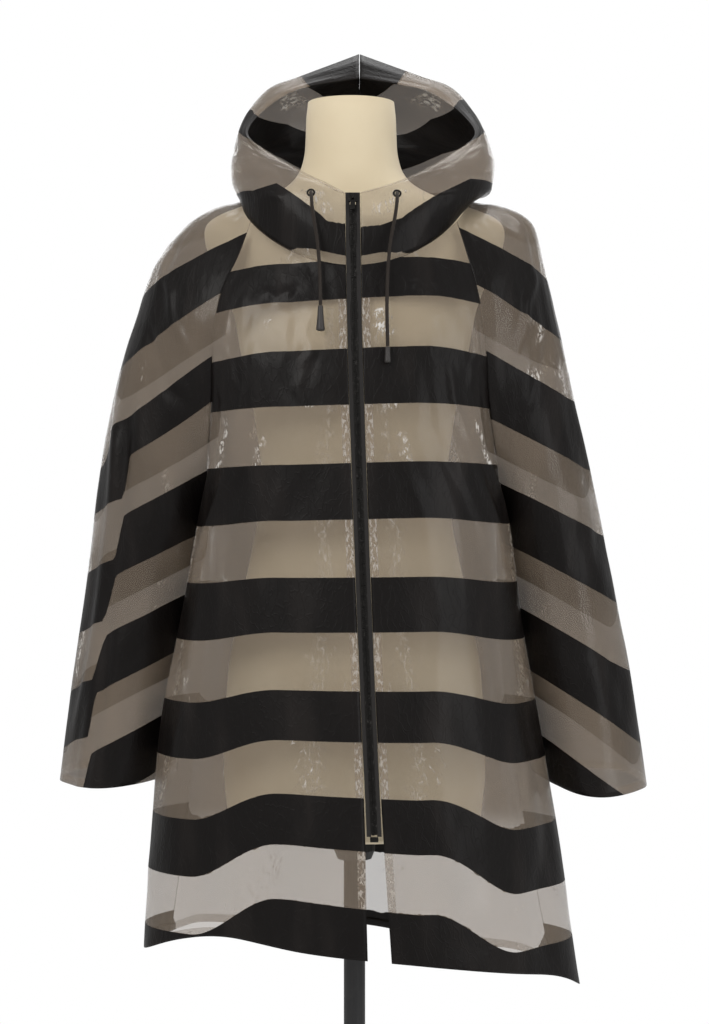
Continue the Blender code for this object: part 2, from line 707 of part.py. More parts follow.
def make_zip(tape, teeth):
    inner = CHAIN_WIDTH / 2 + GAP
    outer = CENTRE_EDGE - GAP
    for name, side in SIDES.items():
        zip_strip(f"zip_tape_{name}", side * inner, side * outer, ZIP_FOOT, ZIP_TOP, TRIM, tape)
    chain_top = SLIDER_Z - SLIDER_HEIGHT / 2 - GAP
    half = CHAIN_WIDTH / 2
    zip_strip("zip_chain", -half, half, ZIP_FOOT, chain_top, CHAIN_DEPTH, teeth)


def centre_tilt(z):
    """How far the centre front leans back at a height, as an angle."""
    low, high = centre_front([z - TILT_STEP, z + TILT_STEP])[:, 1]
    return math.atan2(high - low, 2 * TILT_STEP)


def block(name, low, high, made_of):
    work = bmesh.new()
    bmesh.ops.create_cube(work, size=1.0)
    for vert in work.verts:
        vert.co = [a + (b - a) * (c + 0.5) for a, b, c in zip(low, high, vert.co)]
    mesh = bpy.data.meshes.new(name)
    work.to_mesh(mesh)
    work.free()
    return link(name, mesh, made_of)


def combine(thing, other, operation):
    other.hide_render = True
    other.display_type = "WIRE"
    change = thing.modifiers.new(other.name, "BOOLEAN")
    change.object = other
    change.operation = operation
    change.solver = "EXACT"


def pull_axis():
    """Where the pull tab turns: in front of the slider's face, under its bail."""
    x, y, _ = centre_front(SLIDER_Z)[0]
    tilt = centre_tilt(SLIDER_Z)
    reach = TRIM / 2 + GAP + SLIDER_DEPTH + BAIL_ROOM_BEHIND
    return (x, y - reach * math.cos(tilt), SLIDER_Z + reach * math.sin(tilt)), tilt


def make_slider(metal):
    """Built about the pull's axis: the body behind it, and a bail that the pull hangs in."""
    place, tilt = pull_axis()
    face = BAIL_ROOM_BEHIND
    half_width = SLIDER_WIDTH / 2
    half_height = SLIDER_HEIGHT / 2
    body = block("zip_slider", (-half_width, face, -half_height),
                 (half_width, face + SLIDER_DEPTH, half_height), metal)
    core_half = CHAIN_WIDTH / 2 - GAP
    core = block("slider_core", (-core_half, face + SLIDER_DEPTH / 2, -half_height),
                 (core_half, face + SLIDER_DEPTH + GAP + TRIM + GAP, half_height), metal)
    bail = block("slider_bail", (-BAIL_HALF_WIDTH, -BAIL_FRONT, -BAIL_HALF_HEIGHT),
                 (BAIL_HALF_WIDTH, face + SLIDER_DEPTH / 2, BAIL_HALF_HEIGHT), metal)
    inner = BAIL_HALF_HEIGHT - BAIL_BAR
    room = block("bail_room", (-half_width, BAIL_BAR - BAIL_FRONT, -inner),
                 (half_width, face, inner), metal)
    combine(bail, room, "DIFFERENCE")
    combine(body, core, "UNION")
    combine(body, bail, "UNION")
    for thing in (body, core, bail, room):
        thing.location = place
        thing.rotation_euler = (-tilt, 0, 0)


def make_pull(metal):
    """A flat tab whose top bar runs through the bail; its origin is on its axis."""
    place, tilt = pull_axis()
    half = PULL_THICKNESS / 2
    tab = block("zip_pull", (-PULL_WIDTH / 2, -half, -PULL_LENGTH), (PULL_WIDTH / 2, half, half), metal)
    hole_half = PULL_WIDTH / 2 - PULL_ARM
    hole = block("pull_hole", (-hole_half, -2 * half, -PULL_HOLE_DEPTH),
                 (hole_half, 2 * half, -half), metal)
    combine(tab, hole, "DIFFERENCE")
    for thing in (tab, hole):
        thing.location = place
        thing.rotation_euler = (-tilt, 0, 0)


def make_stop(metal):
    """The zip's bottom stop, which closes the chain just above the open slit."""
    x, y, _ = centre_front(ZIP_FOOT)[0]
    top = ZIP_FOOT - GAP
    block("zip_stop", (x - STOP_WIDTH / 2, y - STOP_DEPTH / 2, top - STOP_HEIGHT),
          (x + STOP_WIDTH / 2, y + STOP_DEPTH / 2, top), metal)


# ---- drawstring -----------------------------------------------------------------------------
def hood_spot(side, u, v):
    """A point on the hood's outer face and the direction it faces."""
    us = np.array([0, u - SPOT_STEP, u, u + SPOT_STEP])
    vs = np.array([v - SPOT_STEP, v, v + SPOT_STEP])
    points = hood_points(side, us, vs)[:, 1:]
    normal = lifted(points, side)[1, 1] - points[1, 1]
    return points[1, 1] + normal * CLOTH / 2, normal


def make_eyelets(metal):
    for name, side in SIDES.items():
        spot, normal = hood_spot(side, *EYELET_PLACES[name])
        low = 2 * GAP
        high = low + EYELET_DEPTH
        ring = turned_ring(f"eyelet_{name}", EYELET_HOLE, EYELET_RADIUS, low, high, metal)
        ring.location = spot
        ring.rotation_euler = Vector(normal).to_track_quat("Z", "Y").to_euler()


def turned_ring(name, hole, radius, low, high, made_of):
    """A washer about the Z axis with a rounded outer lip."""
    lip = (high - low) * EYELET_LIP
    corners = [(hole, low), (radius, low), (radius, high - lip), (radius - lip, high), (hole, high)]
    work = bmesh.new()
    verts = [work.verts.new((corner[0], 0.0, corner[1])) for corner in corners]
    edges = [work.edges.new(pair) for pair in zip(verts, verts[1:] + verts[:1])]
    bmesh.ops.spin(
        work, geom=verts + edges, axis=(0, 0, 1), cent=(0, 0, 0), angle=math.tau,
        steps=20, use_merge=True, use_duplicate=False,
    )
    bmesh.ops.remove_doubles(work, verts=work.verts, dist=0.00001)
    bmesh.ops.recalc_face_normals(work, faces=work.faces)
    mesh = bpy.data.meshes.new(name)
    work.to_mesh(mesh)
    work.free()
    return link(name, mesh, made_of)


def make_cords(braid, metal):
    for name, route in CORD_ROUTES.items():
        reach = np.concatenate(
            [[0], np.cumsum(np.linalg.norm(np.diff(np.array(route), axis=0), axis=1))]
        )
        count = round(reach[-1] / (CORD_POINT_SPACING * CORD_DIAMETER)) + 1
        points = smooth(reach, route, np.linspace(0, reach[-1], count))
        curve = bpy.data.curves.new(f"cord_{name}", "CURVE")
        curve.dimensions = "3D"
        curve.bevel_depth = CORD_DIAMETER / 2
        curve.bevel_resolution = 2
        curve.use_fill_caps = True
        line = curve.splines.new("POLY")
        line.points.add(count - 1)
        for point, spot in zip(line.points, points):
            point.co = (*spot, 1.0)
        link(f"cord_{name}", curve, braid)

        top_radius, foot_radius, length = CORD_END_SIZES[name]
        x, y, z = points[-1]
        top = z - 2 * GAP
        foot = top - length
        turned_profile(
            f"cord_end_{name}",
            [(0.0, top), (top_radius * CORD_END_TAPER, top), (top_radius, top - CORD_END_SHOULDER),
             (foot_radius, foot + CORD_END_LIP), (foot_radius * CORD_END_TAPER, foot), (0.0, foot)],
            metal, 16, x, y,
        )


# ---- dress form -----------------------------------------------------------------------------
def make_form(linen):
    """The limbless torso: one smooth skin through its rings, with a flat neck and foot."""
    work = bmesh.new()
    loops = []
    for z, half_width, half_depth, centre_y in FORM_RINGS:
        lean = FORM_NECK_LEAN * min(1.0, max(0.0, (z - FORM_NECK_FOOT) / FORM_NECK_EASE))
        ring = []
        for step in range(FORM_SEGMENTS):
            turn = math.tau * step / FORM_SEGMENTS
            x = lean + half_width * math.cos(turn)
            ring.append(work.verts.new((x, centre_y + half_depth * math.sin(turn), z)))
        loops.append(ring)
    for low, high in zip(loops, loops[1:]):
        for step in range(FORM_SEGMENTS):
            after = (step + 1) % FORM_SEGMENTS
            work.faces.new((low[step], low[after], high[after], high[step]))
    work.faces.new(loops[0][::-1])
    work.faces.new(loops[-1])
    mesh = bpy.data.meshes.new("form_torso")
    work.to_mesh(mesh)
    work.free()
    mesh.shade_smooth()
    mesh.set_sharp_from_angle(angle=math.radians(40))
    link("form_torso", mesh, linen)


def make_stand(metal):
    turned_profile(
        "form_base",
        [(0.0, 0.0), (BASE_RADIUS, 0.0), (BASE_RADIUS, BASE_EDGE),
         (BASE_RADIUS - BASE_BEVEL, BASE_HEIGHT), (0.0, BASE_HEIGHT)],
        metal, 48,
    )
    collar_foot = FORM_FOOT - GAP - COLLAR_HEIGHT
    turned_profile(
        "form_pole",
        [(0.0, BASE_HEIGHT + GAP), (POLE_RADIUS, BASE_HEIGHT + GAP),
         (POLE_RADIUS, collar_foot - GAP), (0.0, collar_foot - GAP)],
        metal, 24,
    )
    turned_profile(
        "form_collar",
        [(0.0, collar_foot), (COLLAR_RADIUS - COLLAR_BEVEL, collar_foot),
         (COLLAR_RADIUS, collar_foot + COLLAR_TAPER), (COLLAR_RADIUS, FORM_FOOT - GAP),
         (0.0, FORM_FOOT - GAP)],
        metal, 24,
    )


# ---- build ----------------------------------------------------------------------------------
def build():
    clear_scene()
    film = material("striped_film", (0.36, 0.33, 0.29), 0.25)
    linen = material("cream_cover", (0.76, 0.66, 0.45), 0.85)
    tape = material("zip_tape", (0.02, 0.02, 0.02), 0.8)
    teeth = material("dark_metal", (0.06, 0.055, 0.05), 0.35, 0.7)
    braid = material("dark_braid", (0.03, 0.026, 0.022), 0.8)
    metal = material("stand_metal", (0.10, 0.10, 0.10), 0.4, 0.8)
    make_form(linen)
    make_stand(metal)
    make_fronts(film)
    make_back(film)
    make_sleeves(film)
    make_hood(film)
    make_facings(film)
    make_casings(film)
    make_hems(film)
    make_zip(tape, teeth)
    make_slider(teeth)
    make_pull(teeth)
    make_stop(teeth)
    make_eyelets(teeth)
    make_cords(braid, teeth)


build()
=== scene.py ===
import math

import bmesh
import bpy
import numpy as np
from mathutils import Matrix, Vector, kdtree, noise


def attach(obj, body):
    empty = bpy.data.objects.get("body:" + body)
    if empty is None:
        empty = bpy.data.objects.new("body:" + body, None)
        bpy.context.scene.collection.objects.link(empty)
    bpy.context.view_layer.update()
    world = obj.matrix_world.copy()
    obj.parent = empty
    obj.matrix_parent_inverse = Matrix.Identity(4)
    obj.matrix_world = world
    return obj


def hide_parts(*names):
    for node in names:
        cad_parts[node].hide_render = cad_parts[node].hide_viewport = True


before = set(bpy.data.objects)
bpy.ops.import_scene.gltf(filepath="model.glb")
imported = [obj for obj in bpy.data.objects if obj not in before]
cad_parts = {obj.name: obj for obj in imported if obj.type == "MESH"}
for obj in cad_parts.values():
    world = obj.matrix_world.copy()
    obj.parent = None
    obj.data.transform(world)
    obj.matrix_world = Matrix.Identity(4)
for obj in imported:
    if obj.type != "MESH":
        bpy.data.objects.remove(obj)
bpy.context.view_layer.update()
coatBody = "coat_on_form"
pullBody = "pull_tab"
sides = {"left": -1, "right": 1}
print("frame loaded")

# ---- camera, light and floor: all sizes in metres
studio = {
    "cameraHeight": 1.0546,
    "cameraDistance": 2.5,
    "frameWidth": 0.8295,  # what the camera takes in, at the coat
    "floorRadius": 1.5,
    "floorClear": 0.8,
    "ambient": 0.55,
    "wall": 0.1,  # light of the wall behind, as it is seen through the film
    "floorLight": 0.75,
    "horizon": (-0.158, -0.135),
    # place, target, size, power, colour
    "lights": {
        "key": ((-1.6, -2.6, 2.6), (0, 0, 1.1), (1.6, 1.6), 46.0, (1.0, 0.985, 0.96)),
        "fill": ((2.2, -2.0, 1.5), (0, 0, 1.0), (1.4, 2.0), 22.0, (1.0, 1.0, 1.0)),
        "top": ((0.3, 0.6, 3.0), (0, 0, 1.0), (1.8, 1.2), 26.0, (1.0, 1.0, 1.0)),
        "back": ((0.0, 2.6, 1.7), (0, 0, 1.1), (2.4, 1.8), 30.0, (1.0, 1.0, 1.0)),
    },
}


def makeCamera():
    lens = bpy.data.cameras.new("camera")
    lens.sensor_fit = "HORIZONTAL"
    lens.sensor_width = 36.0
    lens.lens = 36.0 * studio["cameraDistance"] / studio["frameWidth"]
    camera = bpy.data.objects.new("camera", lens)
    camera.location = (0.0, -studio["cameraDistance"], studio["cameraHeight"])
    camera.rotation_euler = (math.radians(90), 0.0, 0.0)
    bpy.context.scene.collection.objects.link(camera)
    bpy.context.scene.camera = camera


def makeLight(name, place, target, size, power, colour):
    lamp = bpy.data.lights.new(name, "AREA")
    lamp.shape = "RECTANGLE"
    lamp.size, lamp.size_y = size
    lamp.energy = power
    lamp.color = colour
    light = bpy.data.objects.new(name, lamp)
    light.location = place
    light.rotation_euler = (Vector(target) - Vector(place)).to_track_quat("-Z", "Y").to_euler()
    bpy.context.scene.collection.objects.link(light)


# ---- shader maths: a socket that takes part in Python expressions
class Wire:
    def __init__(self, tree, socket):
        self.tree = tree
        self.socket = socket

    def math(self, operation, *others, clamp=False):
        return node(self.tree, "ShaderNodeMath", {"operation": operation, "use_clamp": clamp},
                    [self, *others])

    def __add__(self, other):
        return self.math("ADD", other)

    __radd__ = __add__

    def __mul__(self, other):
        return self.math("MULTIPLY", other)

    __rmul__ = __mul__

    def __sub__(self, other):
        return self.math("SUBTRACT", other)

    def __rsub__(self, other):
        return self * -1.0 + other

    def clamped(self):
        return self.math("ADD", 0.0, clamp=True)

    def between(self, low, high):
        return node(self.tree, "ShaderNodeMapRange", {"interpolation_type": "SMOOTHSTEP"},
                    [self, low, high, 0.0, 1.0])

    def mix(self, first, second):
        return node(self.tree, "ShaderNodeMix", {"data_type": "RGBA"},
                    {"Factor": self, 6: colour4(first), 7: colour4(second)}, output=2)


def colour4(value):
    return (*value, 1.0) if isinstance(value, tuple) and len(value) == 3 else value


def node(tree, kind, settings=None, values=(), output=0):
    made = tree.nodes.new(kind)
    for name, value in (settings or {}).items():
        setattr(made, name, value)
    pairs = values.items() if isinstance(values, dict) else enumerate(values)
    for key, value in pairs:
        if isinstance(value, Wire):
            tree.links.new(value.socket, made.inputs[key])
        elif value is not None:
            made.inputs[key].default_value = value
    return Wire(tree, made.outputs[output])


def newMaterial(name, **constants):
    made = bpy.data.materials.new(name)
    made.use_nodes = True
    shader = made.node_tree.nodes["Principled BSDF"]
    for key, value in constants.items():
        shader.inputs[key.replace("_", " ")].default_value = colour4(value)
    return made, made.node_tree, shader


def feed(tree, shader, **wires):
    for key, wire in wires.items():
        tree.links.new(wire.socket, shader.inputs[key.replace("_", " ")])


def placeOf(tree, scale=(1.0, 1.0, 1.0)):
    place = node(tree, "ShaderNodeTexCoord", {}, [], "Object")
    return node(tree, "ShaderNodeMapping", {}, {"Vector": place, "Scale": scale})


def clothPlace(tree, scale):
    place = node(tree, "ShaderNodeUVMap", {"uv_map": "cloth"}, [])
    return node(tree, "ShaderNodeMapping", {}, {"Vector": place, "Scale": (*scale, 1.0)})


def noiseOf(tree, place, scale, detail=2.0, roughness=0.5, distortion=0.0):
    return node(tree, "ShaderNodeTexNoise", {}, {
        "Vector": place, "Scale": scale, "Detail": detail, "Roughness": roughness,
        "Distortion": distortion,
    })


def bump(tree, height, strength, distance):
    return node(tree, "ShaderNodeBump", {}, {
        "Height": height, "Strength": strength, "Distance": distance,
    })


film = {
    "clear": (0.31, 0.245, 0.185),
    "clearAlpha": 0.25,
    # painted glints, with some crease whitening: near-white colour and higher alpha for the clear
    # film's crinkle lines and specks
    "glintColour": (0.9, 0.88, 0.84),
    "glintAlpha": 0.8,
    "black": (0.0042, 0.003, 0.0026),
    # the next colour is painted satin sheen: lighter vertical streaks on the black stripes
    "blackSheen": (0.0105, 0.008, 0.007),
    "clearRoughness": 0.22,
    "blackRoughness": 0.42,
    "edgeSharpness": 60.0,
    "thinner": 0.86,
    "thicker": 1.12,
}


def filmMaterial():
    made, tree, shader = newMaterial("striped_film", Specular_IOR_Level=0.14, Coat_Roughness=0.14)
    stripe = node(tree, "ShaderNodeAttribute", {"attribute_name": "stripe"}, [], "Fac")
    wave = ((stripe - 1.5) * math.pi).math("COSINE")
    black = (wave * film["edgeSharpness"] + 0.5).clamped()

    fine = noiseOf(tree, clothPlace(tree, (1.0, 0.55)), 120.0, 3.0, 0.6, 0.8)
    broad = noiseOf(tree, clothPlace(tree, (1.0, 0.25)), 22.0, 2.0, 0.5, 0.3)
    crackle = node(tree, "ShaderNodeTexVoronoi", {"feature": "DISTANCE_TO_EDGE"}, {
        "Vector": node(tree, "ShaderNodeVectorMath", {"operation": "ADD"}, [
            clothPlace(tree, (1.0, 0.45)),
            node(tree, "ShaderNodeVectorMath", {"operation": "SCALE"}, {
                0: noiseOf(tree, clothPlace(tree, (1.0, 0.6)), 45.0, 2.0), "Scale": 0.03,
            }),
        ]),
        "Scale": 95.0,
    })
    lines = 1.0 - crackle.between(0.0, 0.075)
    patches = broad.between(0.56, 0.7)
    # painted glints: where the glint spots are, crinkle lines and fine specks turn the clear film near
    # white and more opaque
    glintSpots = node(tree, "ShaderNodeAttribute", {"attribute_name": "glintSpots"}, [], "Fac")
    glintSpecks = noiseOf(tree, clothPlace(tree, (1.0, 0.45)), 330.0, 2.0, 0.6, 0.6).between(0.5, 0.58)
    paintedGlint = lines * fine.between(0.48, 0.62) * (patches * 0.5 + glintSpots * 0.9)
    paintedGlint = (paintedGlint + glintSpecks * glintSpots.between(0.15, 0.95) * 0.9).clamped()

    haze = noiseOf(tree, clothPlace(tree, (1.0, 0.4)), 9.0, 3.0, 0.55)
    clear = haze.between(0.3, 0.7).mix(*(tuple(c * film[key] for c in film["clear"])
                                         for key in ("thinner", "thicker")))
    clear = paintedGlint.mix(clear, film["glintColour"])
    # painted satin sheen: lighter vertical streaks on the black stripes
    wearAndSheen = broad.between(0.45, 0.75).mix(film["black"], film["blackSheen"])
    alpha = haze * 0.05 + (film["clearAlpha"] - 0.025)
    alpha = alpha + paintedGlint * (film["glintAlpha"] - film["clearAlpha"])
    alpha = (alpha * (1.0 - black) + black).clamped()
    rough = black * (film["blackRoughness"] - film["clearRoughness"]) + film["clearRoughness"]
    rough = rough + fine * 0.08
    height = fine * 0.35 + broad * 0.9 + lines * 0.12
    gloss = (1.0 - black) * 0.55 + broad * 0.1
    feed(tree, shader, Base_Color=black.mix(clear, wearAndSheen), Alpha=alpha, Roughness=rough,
         Coat_Weight=gloss, Normal=bump(tree, height, 0.55, 0.0022))
    return made


def weaveMaterial(name, colour, pitch, roughness):
    made, tree, shader = newMaterial(name, Specular_IOR_Level=0.3)
    place = placeOf(tree, (math.tau / pitch,) * 3)
    across = node(tree, "ShaderNodeSeparateXYZ", {}, [place])
    up = node(tree, "ShaderNodeSeparateXYZ", {}, [place], 2)
    threads = across.math("SINE") * up.math("SINE")
    blotch = noiseOf(tree, placeOf(tree), 14.0, 3.0, 0.6)
    tone = (threads * 0.25 + 0.5 + (blotch - 0.5) * 0.6).clamped()
    feed(tree, shader, Base_Color=tone.mix(tuple(c * 0.75 for c in colour), colour),
         Roughness=blotch * 0.12 + (roughness - 0.06),
         Normal=bump(tree, threads * 0.5 + blotch * 0.4, 0.5, 0.0003))
    return made


def jerseyMaterial():
    made, tree, shader = newMaterial("cream_jersey", Sheen_Weight=0.25, Sheen_Roughness=0.5,
                                     Specular_IOR_Level=0.2)
    ribs = node(tree, "ShaderNodeTexWave", {"wave_type": "BANDS", "bands_direction": "Z"}, {
        "Vector": placeOf(tree), "Scale": 260.0, "Distortion": 1.2, "Detail": 2.0,
        "Detail Scale": 1.5,
    })
    fuzz = noiseOf(tree, placeOf(tree), 900.0, 2.0, 0.6)
    patch = noiseOf(tree, placeOf(tree), 7.0, 3.0, 0.6)
    tone = (patch.between(0.3, 0.75) * 0.7 + fuzz * 0.3).clamped()
    feed(tree, shader, Base_Color=tone.mix((0.7, 0.585, 0.4), (0.8, 0.695, 0.505)),
         Roughness=patch * 0.1 + 0.78,
         Normal=bump(tree, ribs * 0.5 + fuzz * 0.6, 0.35, 0.0004))
    return made


def metalMaterial(name, colour, bright, roughness, scale):
    made, tree, shader = newMaterial(name, Metallic=0.85)
    scuff = noiseOf(tree, placeOf(tree, (1.0, 1.0, 0.5)), scale, 4.0, 0.65)
    wearAndSheen = scuff.between(0.55, 0.72)
    feed(tree, shader, Base_Color=wearAndSheen.mix(colour, bright),
         Roughness=scuff * 0.2 + (roughness - 0.1),
         Normal=bump(tree, scuff, 0.25, 0.0002))
    return made


def paintMaterial():
    made, tree, shader = newMaterial("powder_coat", Metallic=0.1, Specular_IOR_Level=0.4)
    grain = noiseOf(tree, placeOf(tree), 1400.0, 2.0, 0.5)
    dust = noiseOf(tree, placeOf(tree), 16.0, 4.0, 0.6)
    tone = dust.between(0.5, 0.75)
    feed(tree, shader, Base_Color=tone.mix((0.018, 0.018, 0.019), (0.034, 0.033, 0.032)),
         Roughness=dust * 0.2 + 0.38, Normal=bump(tree, grain, 0.4, 0.0002))
    return made


def plainMaterial(name, colour, roughness):
    made, tree, shader = newMaterial(name)
    cloud = noiseOf(tree, placeOf(tree), 60.0, 3.0, 0.6)
    feed(tree, shader, Base_Color=cloud.mix(tuple(c * 0.75 for c in colour), colour),
         Roughness=cloud * 0.15 + roughness, Normal=bump(tree, cloud, 0.2, 0.0002))
    return made


def floorMaterial():
    made, tree, shader = newMaterial("pale_floor", Roughness=0.9, Base_Color=(0.86, 0.86, 0.85))
    place = node(tree, "ShaderNodeTexCoord", {}, [], "Object")
    distance = node(tree, "ShaderNodeVectorMath", {"operation": "LENGTH"}, [place], 1)
    feed(tree, shader, Alpha=1.0 - distance.between(studio["floorClear"], studio["floorRadius"]))
    return made


def makeStudio():
    makeCamera()
    for name, values in studio["lights"].items():
        makeLight(name, *values)
    world = bpy.data.worlds.new("studio")
    world.use_nodes = True
    tree = world.node_tree
    background = tree.nodes["Background"]
    seen = node(tree, "ShaderNodeLightPath", {}, [], "Is Camera Ray")
    # through the film, which is two faces, the wall behind is dim and the floor is light
    depth = node(tree, "ShaderNodeLightPath", {}, [], "Transparent Depth")
    outward = node(tree, "ShaderNodeTexCoord", {}, [], "Generated")
    upward = node(tree, "ShaderNodeSeparateXYZ", {}, [outward], 2)
    low = 1.0 - upward.between(*studio["horizon"])
    dim = depth.between(1.4, 1.6) * (1.0 - studio["wall"]) * (1.0 - low * studio["floorLight"])
    strength = seen * (1.0 - dim - studio["ambient"]) + studio["ambient"]
    background.inputs["Color"].default_value = (1.0, 1.0, 1.0, 1.0)
    tree.links.new(strength.socket, background.inputs["Strength"])
    bpy.context.scene.world = world
    bpy.context.scene.view_settings.view_transform = "Standard"

    work = bmesh.new()
    bmesh.ops.create_circle(work, cap_ends=True, segments=96, radius=studio["floorRadius"])
    finishPiece("floor", work, floorMaterial())


def finishPiece(name, work, material, smooth=True):
    mesh = bpy.data.meshes.new(name)
    work.to_mesh(mesh)
    work.free()
    if smooth:
        mesh.shade_smooth()
    piece = bpy.data.objects.new(name, mesh)
    mesh.materials.append(material)
    bpy.context.scene.collection.objects.link(piece)
    return piece


# ---- the coat's surfaces, worked out as its solids are
cloth = {
    "wall": 0.0006,
    "trimWall": 0.0005,
    "solidTrim": 0.0008,
    "gap": 0.0003,
    "lap": 0.0006,  # the panels run over each other a little at a seam
    "underarm": 5,  # from this level down both seams are one side seam
    "seamEase": 6,
    "ripple": 0.0011,
    "hemDepth": 0.01,
}


def flowing(knots, values, at):
    knots = np.asarray(knots, float)
    values = np.asarray(values, float)
    at = np.asarray(at, float)
    slopes = np.gradient(values, knots, axis=0)
    i = np.clip(np.searchsorted(knots, at, side="right") - 1, 0, len(knots) - 2)
    span = knots[i + 1] - knots[i]
    t = (at - knots[i]) / span
    shape = (-1,) + (1,) * (values.ndim - 1)
    t = t.reshape(shape)
    span = span.reshape(shape)
    start = (1 + 2 * t) * (1 - t) ** 2 * values[i] + t * (1 - t) ** 2 * span * slopes[i]
    end = t * t * (3 - 2 * t) * values[i + 1] + t * t * (t - 1) * span * slopes[i + 1]
    return start + end


def softStep(value, low, high):
    t = np.clip((value - low) / (high - low), 0, 1)
    return t * t * (3 - 2 * t)


zipLine = {
    "foot": 0.7,
    "edge": 0.0085,
    "facing": 0.009,
    # z, x, y, half the opening's width
    "line": [
        (0.567, 0.0275, -0.176, 0.013),
        (0.63, 0.0245, -0.172, 0.0116),
        (0.694, 0.0218, -0.168, 0.01),
        (0.704, 0.0214, -0.1673, 0.0085),
        (0.82, 0.016, -0.16, 0.0085),
        (1.03, 0.0075, -0.147, 0.0085),
        (1.16, 0.003, -0.14, 0.0085),
        (1.262, 0.0, -0.131, 0.0085),
        (1.33, -0.001, -0.114, 0.0085),
        (1.358, -0.0015, -0.1145, 0.0085),
        (1.388, -0.0018, -0.11, 0.0085),
        (1.42, -0.0022, -0.1, 0.0085),
    ],
}


def centreFront(z):
    table = np.array(zipLine["line"])
    found = flowing(table[:, 0], table[:, 1:], np.atleast_1d(z))
    found[:, 2] = np.interp(np.atleast_1d(z), table[:, 0], table[:, 3])
    return found


neck = {
    "halfWidth": 0.131,
    "centreY": -0.018,
    "depth": 0.096,
    "frontZ": 1.33,
    "backZ": 1.418,
    "shoulderRise": 0.039,
    "frontRaglan": math.radians(64),
    "backRaglan": math.radians(122),
}


def neckline(angle, side):
    angle = np.atleast_1d(angle)
    lean = centreFront(neck["frontZ"])[0, 0] * (1 + np.cos(angle)) / 2
    x = lean + side * neck["halfWidth"] * np.sin(angle)
    y = neck["centreY"] - neck["depth"] * np.cos(angle)
    rise = (neck["backZ"] - neck["frontZ"]) * (1 - np.cos(angle)) / 2
    z = neck["frontZ"] + rise + neck["shoulderRise"] * np.sin(angle) ** 2
    return np.stack([x, y, z], 1)


def sideArc(widest, end, turn, t):
    alpha = turn * t
    across = (1 - np.cos(alpha)) / (1 - math.cos(turn))
    along = np.sin(alpha) / math.sin(turn)
    return np.stack([widest[0] + (end[0] - widest[0]) * across,
                     widest[1] + (end[1] - widest[1]) * along,
                     widest[2] + (end[2] - widest[2]) * across], 1)


def panelArc(centre, seam, turn, t):
    alpha = turn * t
    across = np.sin(alpha) / math.sin(turn)
    along = (1 - np.cos(alpha)) / (1 - math.cos(turn))
    return np.stack([centre[0] + (seam[0] - centre[0]) * across,
                     centre[1] + (seam[1] - centre[1]) * along,
                     centre[2] + (seam[2] - centre[2]) * t * t], 1)


def loopArc(outer, inner, depth, turn, t):
    alpha = turn * t
    turned = (1 - np.cos(alpha)) / (1 - math.cos(turn))
    reach = inner[1] - outer[1] - depth * math.sin(turn)
    return np.stack([outer[0] + (inner[0] - outer[0]) * turned,
                     outer[1] + depth * np.sin(alpha) + reach * t * t,
                     outer[2] + (inner[2] - outer[2]) * turned], 1)


def loft(curves, us, vs):
    rows = np.stack([curve(us) for curve in curves])
    return flowing(np.linspace(0, 1, len(curves)), rows, vs)


def seamLine(points, vs, split=cloth["underarm"] + 1):
    knots = np.linspace(0, 1, len(points))
    upper = flowing(knots[: split + 1], points[: split + 1], vs)
    lower = flowing(knots[split:], points[split:], vs)
    return np.where((vs <= knots[split])[:, None], upper, lower)


def meet(points, us, edge, line):
    weight = us ** cloth["seamEase"] if edge else (1 - us) ** cloth["seamEase"]
    return points + (line - points[:, edge])[:, None, :] * weight[None, :, None]


def lifted(points, distance):
    down = np.gradient(points, axis=0)
    along = np.gradient(points, axis=1)
    normal = np.cross(along, down)
    return points + distance * normal / np.linalg.norm(normal, axis=2, keepdims=True)


def addFolds(points, us, vs, folds, sign):
    push = np.zeros((len(vs), len(us)))
    fall = np.zeros((len(vs), len(us)))
    for place, spread, top, depth, drop in folds:
        crest = softStep(vs, top, 1.0)[:, None] * np.exp(-(((us - place) / spread) ** 2))[None, :]
        push += depth * crest
        fall += drop * crest
    moved = lifted(points, sign * push[:, :, None])
    moved[:, :, 2] -= fall
    return moved


hemShape = {"top": 0.7, "skew": 0.021, "sag": 0.009, "halfWidth": 0.24}


def skewHem(points, vs):
    share = points[:, :, 0] / hemShape["halfWidth"]
    fall = hemShape["skew"] * share + hemShape["sag"] * share * share
    fall = fall * softStep(vs, hemShape["top"], 1.0)[:, None]
    return points - np.stack([np.zeros_like(fall), np.zeros_like(fall), fall], 2)


def pick(side, left, right):
    return left if side < 0 else right


fronts = {
    "levels": [
        # centreZ, seamZ, leftX, rightX, seamY, turn
        (1.302, 1.346, 0.1315, 0.128, -0.078, 62),
        (1.262, 1.3, 0.151, 0.14, -0.088, 66),
        (1.215, 1.245, 0.16, 0.148, -0.088, 72),
        (1.16, 1.18, 0.162, 0.152, -0.076, 80),
        (1.1, 1.112, 0.1675, 0.162, -0.05, 92),
        (1.03, 1.03, 0.168, 0.166, 0.005, 112),
        (0.93, 0.925, 0.175, 0.171, 0.03, 118),
        (0.82, 0.8, 0.188, 0.183, 0.038, 120),
        (0.694, 0.67, 0.201, 0.207, 0.04, 118),
        (0.63, 0.605, 0.21, 0.221, 0.04, 115),
        (0.567, 0.545, 0.218, 0.235, 0.04, 112),
    ],
    # place, spread, top, depth, drop
    "left": [(0.74, 0.15, 0.45, 0.008, 0.014), (0.36, 0.17, 0.55, -0.01, -0.01)],
    "right": [(0.8, 0.14, 0.45, 0.012, 0.014), (0.52, 0.13, 0.6, -0.007, 0.0)],
}
